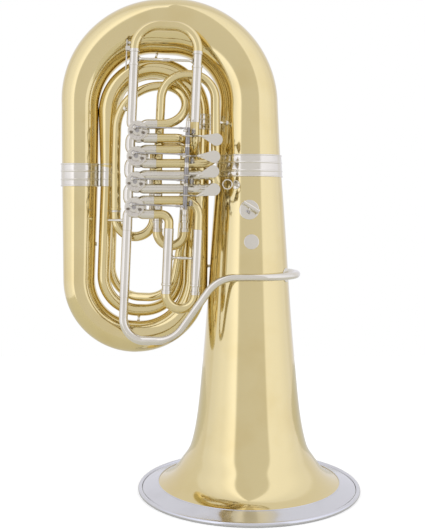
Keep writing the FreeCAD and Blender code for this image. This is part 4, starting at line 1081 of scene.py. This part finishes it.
def bellPlate(degrees, height, radius, thick=1.7, rings=10, columns=64):
    # a disc bent round the bell: across turns into an angle, up stays height
    a = np.linspace(0, 2 * math.pi, columns, endpoint=False)[None]
    inner = np.linspace(0, radius - 1.2, rings)
    rim = radius - 1.2 + 1.2 * np.sin(np.linspace(0.2, math.pi / 2, 5))
    rho = np.concatenate([inner, rim, [radius, radius * 0.5, 0.0]])[:, None]
    lift = np.concatenate([
        np.full(rings, thick), thick - 0.7 + 0.7 * np.cos(np.linspace(0.2, math.pi / 2, 5)),
        [0.15, 0.15, 0.15]])[:, None]
    up = height + rho * np.sin(a)
    out = bellRadius(up) + lift
    angle = math.radians(degrees) + rho * np.cos(a) / bellRadius(height)
    surface = np.stack([out * np.cos(angle), out * np.sin(angle), up + 0 * a], -1)
    return gridShell(surface, closeRows=False)


def bellSpot(degrees, height):
    a = math.radians(degrees)
    r = float(bellRadius(height))
    return np.array([r * math.cos(a), r * math.sin(a), height])


lyreMiddle = np.array([1.5, -84.5, 572.6])
lyreWay, lyreSide = unit((31.0, 0, -19.6)), unit((-19.6, 0, -31.0))
lyreRoot = (1.5, -86.0, 570.0)
lyreSocket = [
    (2.75, -18.0), (4.6, -18.0), (5.0, -17.5), (5.0, -14.8), (4.4, -14.4), (4.2, -9.0), (4.8, -8.6),
    (4.8, 8.6), (4.2, 9.0), (4.4, 14.4), (5.0, 14.8), (5.0, 17.5), (4.6, 18.0), (2.75, 18.0),
]
lyreFoot = [(0, 0), (3.4, 0), (3.4, 9.0), (4.6, 11.5), (7.0, 13.0), (7.0, 13.6), (0, 13.6)]
lyreBoss = [(1.7, 3.0), (3.2, 3.0), (3.4, 7.6), (3.0, 8.0), (1.7, 8.0)]
plates = [  # heading in degrees, height and radius of each disc on the bell
    (-91.5, 567.3, 19.5), (-88.2, 504.5, 14.8), (-114.0, 616.4, 9.0), (-25.0, 436.0, 14.0),
]
pipePost = {
    "heading": -25.0, "height": 436.0, "way": (0.906, -0.423, 0),
    "outline": [(0, -2.0), (5.2, -2.0), (4.6, 1.0), (3.4, 4.0), (3.0, 10.0), (3.6, 13.0),
                (4.4, 15.4), (4.4, 17.2), (0, 17.2)],
}
strapRing = {"middle": (-45.1, -98.0, 616.4), "radius": 9.0, "wire": 1.15}
strapStem = {
    "line": [(-36.1, -98, 616.4), (-36.1, -80, 616.4), (-27.6, -62.0, 616.4)], "bends": [12],
    "radius": [1.7, 1.7, 2.4], "columns": 20,
}


def hoopShell(part):
    # a wire hoop facing the front: middle + (radius + wire cos t) around + wire sin t back
    a = np.linspace(0, 2 * math.pi, 72, endpoint=False)
    t = np.linspace(0, 2 * math.pi, 16, endpoint=False)[None, :, None]
    around = np.stack([np.cos(a), 0 * a, np.sin(a)], -1)[:, None]
    wire = part["wire"]
    return gridShell(np.array(part["middle"]) + (part["radius"] + wire * np.cos(t)) * around
                     + wire * np.sin(t) * toBack)


makePiece("bellFittings", [bellPlate(*disc) for disc in plates] + [
    turnedShell(lyreSocket, lyreMiddle, lyreWay, columns=40),
    turnedShell(lyreFoot, lyreRoot, toBack, columns=36, openEnds=True),
    turnedShell(lyreBoss, lyreMiddle, lyreSide, columns=28),
    hoopShell(strapRing), barShell(strapStem),
    turnedShell(pipePost["outline"], bellSpot(pipePost["heading"], pipePost["height"]),
                pipePost["way"], columns=32, openEnds=True),
], "horn", nickel, ["bell_fittings"])
lyreThread = [(0, 3.2), (1.5, 3.2), (1.5, 9.0), (0, 9.0)]
lyreHead = [(0, 9.0), (4.3, 9.0), (4.6, 9.4), (4.6, 12.6), (4.2, 13.0), (0, 13.2)]
lyreKnurl = [0, 0, 1, 1, 0, 0]  # the rows of the head that ripple
makePiece("lyreScrew", [
    turnedShell(lyreThread, lyreMiddle, lyreSide, columns=20, openEnds=True),
    knurledShell(lyreHead, lyreKnurl, lyreMiddle, lyreSide, ridges=24, depth=0.5, columns=96),
], "lyre_screw", rodMetal, ["lyre_screw"])

# stays between the tubes, each from one tube's middle and radius to another's
stays = [
    ((-345.6, 0, 497), 33.1, (-297.6, 0, 497), 13.2),
    ((-107.7, 0, 452), 24.8, (0, 0, 452), 79.5),
    ((-68.5, -62, 740), 8.4, (0, 0, 740), 61.4),
    (tuple(leaning(-13.5, 0, 128)), 9.7, (-250.5, -34, 768), 8.9),
    ((-172, 0, 940.4), 56.3, (-195, 0, 856.7), 20.3),
    ((-228, 0, 308.8), 31.6, (-224, 9, 361), 12.1),
    ((-295.8, 0, 560), 13.5, (-280.4, 27, 560), 8.7),
    ((-161.45, -78, 474.0), 9.7, (-104.5, -78, 471.7), 9.7),
]
longStay = {"foot": 5.4, "bar": 2.2, "middle": 3.2}
shortStay = {"foot": 4.6, "bar": 2.0}
stayFit = {"longestStub": 22.0, "sunk": 0.8}
riserStay = {
    "line": [(-287, -10, 546.6), (-280.5, -58, 546.6), (-247.6, -76.6, 546.6)], "bends": [9],
    "radius": [3.2, 1.8, 1.8, 3.2], "columns": 24,
}


def stubShell(foot, way, span, look):
    # a short stay: a foot at each end and a straight neck between
    wide, bar = look["foot"], look["bar"]
    return turnedShell(
        [(0, 0), (wide, 0), (bar + 0.8, 1.8), (bar, span / 2 + 0.8), (bar + 0.8, span - 0.2),
         (wide, span + 1.6), (0, span + 1.6)], foot, way, columns=24, openEnds=True)


shells = []
for a, radiusA, b, radiusB in stays:
    way = unit(np.subtract(b, a))
    span = np.linalg.norm(np.subtract(b, a)) - radiusA - radiusB
    foot = a + way * (radiusA - stayFit["sunk"])
    if span > stayFit["longestStub"]:
        shells.append(braceShell(foot, b - way * (radiusB - stayFit["sunk"]), longStay))
    else:
        shells.append(stubShell(foot, way, span, shortStay))
shells.append(barShell(riserStay))
makePiece("stays", shells, "horn", nickel, ["stays"])
print("fittings made")

# studio

studio = {
    "cameraPlace": (-0.0738, -1.758, 0.5763), "lens": 58.415, "shiftUp": -0.113,
    "floorSize": 3.0, "floorColour": (0.62, 0.62, 0.62), "floorGlow": 0.46, "mirroredGlow": 0.12,
    "white": 1.001, "daylight": 0.95, "strength": 1.6, "aim": (-0.12, 0.0, 0.55),
    "boxLevel": 0.9, "boxTint": (1.0, 1.02, 1.2), "wallTint": (1.0, 1.0, 1.1),
    "bands": [  # heading in degrees, brightness
        (-180, 0.84), (-106, 0.84), (-98, 0.92), (-64, 1.05), (-34, 1.32), (-27, 0.76), (37, 0.78),
        (42, 1.12), (70, 1.09), (112, 0.96), (126, 0.84), (180, 0.84),
    ],
}
floorMesh = bpy.data.meshes.new("studioFloor")
half = studio["floorSize"] / 2
floorMesh.from_pydata(
    [(-half, -half, 0), (half, -half, 0), (half, half, 0), (-half, half, 0)], [], [(0, 1, 2, 3)])
floor = bpy.data.objects.new("studioFloor", floorMesh)
bpy.context.collection.objects.link(floor)


def colourMix(tree):
    node = tree.nodes.new("ShaderNodeMix")
    node.data_type = "RGBA"
    return node


# paper that keeps the shadow and adds a glow to the camera, a little of it to reflections
floorLook = bpy.data.materials.new("floorPaper")
floorLook.use_nodes = True
tree = floorLook.node_tree
paper = tree.nodes["Principled BSDF"]
paper.inputs["Base Color"].default_value = (*studio["floorColour"], 1.0)
paper.inputs["Roughness"].default_value = 0.9
glow = tree.nodes.new("ShaderNodeEmission")
glow.inputs["Color"].default_value = (1, 1, 1, 1)
both = tree.nodes.new("ShaderNodeAddShader")
rays = tree.nodes.new("ShaderNodeLightPath")
mirrored = mathNode(tree, "MULTIPLY", studio["mirroredGlow"])
seen = mathNode(tree, "MAXIMUM")
level = mathNode(tree, "MULTIPLY", studio["floorGlow"])
link(tree, rays, "Is Glossy Ray", mirrored, 0)
link(tree, rays, "Is Camera Ray", seen, 0)
link(tree, mirrored, "Value", seen, 1)
link(tree, seen, "Value", level, 0)
link(tree, level, "Value", glow, "Strength")
link(tree, paper, "BSDF", both, 0)
link(tree, glow, "Emission", both, 1)
link(tree, both, "Shader", tree.nodes["Material Output"], "Surface")
floor.data.materials.append(floorLook)

# world: white to the camera; reflections see two soft boxes with a dimmer front and rear
world = bpy.data.worlds.new("studioWorld")
bpy.context.scene.world = world
world.use_nodes = True
tree = world.node_tree
sky = tree.nodes["Background"]
sky.inputs["Strength"].default_value = studio["strength"]
place = tree.nodes.new("ShaderNodeTexCoord")
split = tree.nodes.new("ShaderNodeSeparateXYZ")
flip = mathNode(tree, "MULTIPLY", -1.0)
heading = mathNode(tree, "ARCTAN2")  # 0 straight out in front, positive to the right
turnShare = tree.nodes.new("ShaderNodeMapRange")
turnShare.inputs["From Min"].default_value = -math.pi
turnShare.inputs["From Max"].default_value = math.pi
link(tree, place, "Generated", split, "Vector")
link(tree, split, "Y", flip, 0)
link(tree, split, "X", heading, 0)
link(tree, flip, "Value", heading, 1)
link(tree, heading, "Value", turnShare, "Value")
bands = tree.nodes.new("ShaderNodeValToRGB")
ramp = bands.color_ramp
ramp.interpolation = "EASE"
while len(ramp.elements) < len(studio["bands"]):
    ramp.elements.new(0.5)
for element, (degrees, brightness) in zip(ramp.elements, studio["bands"]):
    element.position = (degrees + 180) / 360
    tint = np.array(studio["boxTint"] if brightness > studio["boxLevel"] else studio["wallTint"])
    element.color = (*(brightness / studio["strength"] * tint), 1.0)
rays = tree.nodes.new("ShaderNodeLightPath")
mirrored, seen = colourMix(tree), colourMix(tree)
plain = studio["daylight"] / studio["strength"]
white = studio["white"] / studio["strength"]
mirrored.inputs[6].default_value = (plain, plain, plain, 1.0)  # inputs 6 and 7 are the colours
seen.inputs[7].default_value = (white, white, white, 1.0)
link(tree, turnShare, "Result", bands, "Fac")
link(tree, rays, "Is Glossy Ray", mirrored, 0)
link(tree, bands, "Color", mirrored, 7)
link(tree, rays, "Is Camera Ray", seen, 0)
link(tree, mirrored, 2, seen, 6)
link(tree, seen, 2, sky, "Color")

lamps = {
    "leftSoftbox": {"place": (-2.2, -1.6, 2.0), "power": 14.0, "size": (0.7, 1.8)},
    "rightSoftbox": {"place": (2.3, -1.9, 1.7), "power": 11.0, "size": (0.7, 1.8)},
}
for name, lamp in lamps.items():
    light = bpy.data.lights.new(name, "AREA")
    light.shape = "RECTANGLE"
    light.size, light.size_y = lamp["size"]
    light.energy = lamp["power"]
    holder = bpy.data.objects.new(name, light)
    bpy.context.collection.objects.link(holder)
    holder.location = lamp["place"]
    aim = np.subtract(studio["aim"], lamp["place"])
    yaw = math.atan2(aim[1], aim[0]) - math.pi / 2
    pitch = math.atan2(aim[2], math.hypot(aim[0], aim[1]))
    holder.rotation_euler = (math.pi / 2 + pitch, 0.0, yaw)
    holder.visible_glossy = False

cameraData = bpy.data.cameras.new("studioCamera")
camera = bpy.data.objects.new("studioCamera", cameraData)
bpy.context.collection.objects.link(camera)
camera.location = studio["cameraPlace"]
camera.rotation_euler = (math.pi / 2, 0.0, 0.0)
cameraData.lens = studio["lens"]
cameraData.sensor_width = 36.0
cameraData.shift_y = studio["shiftUp"]
cameraData.clip_start = 0.05
cameraData.clip_end = 60.0
bpy.context.scene.camera = camera
bpy.context.scene.view_settings.view_transform = "Standard"
print("studio made")
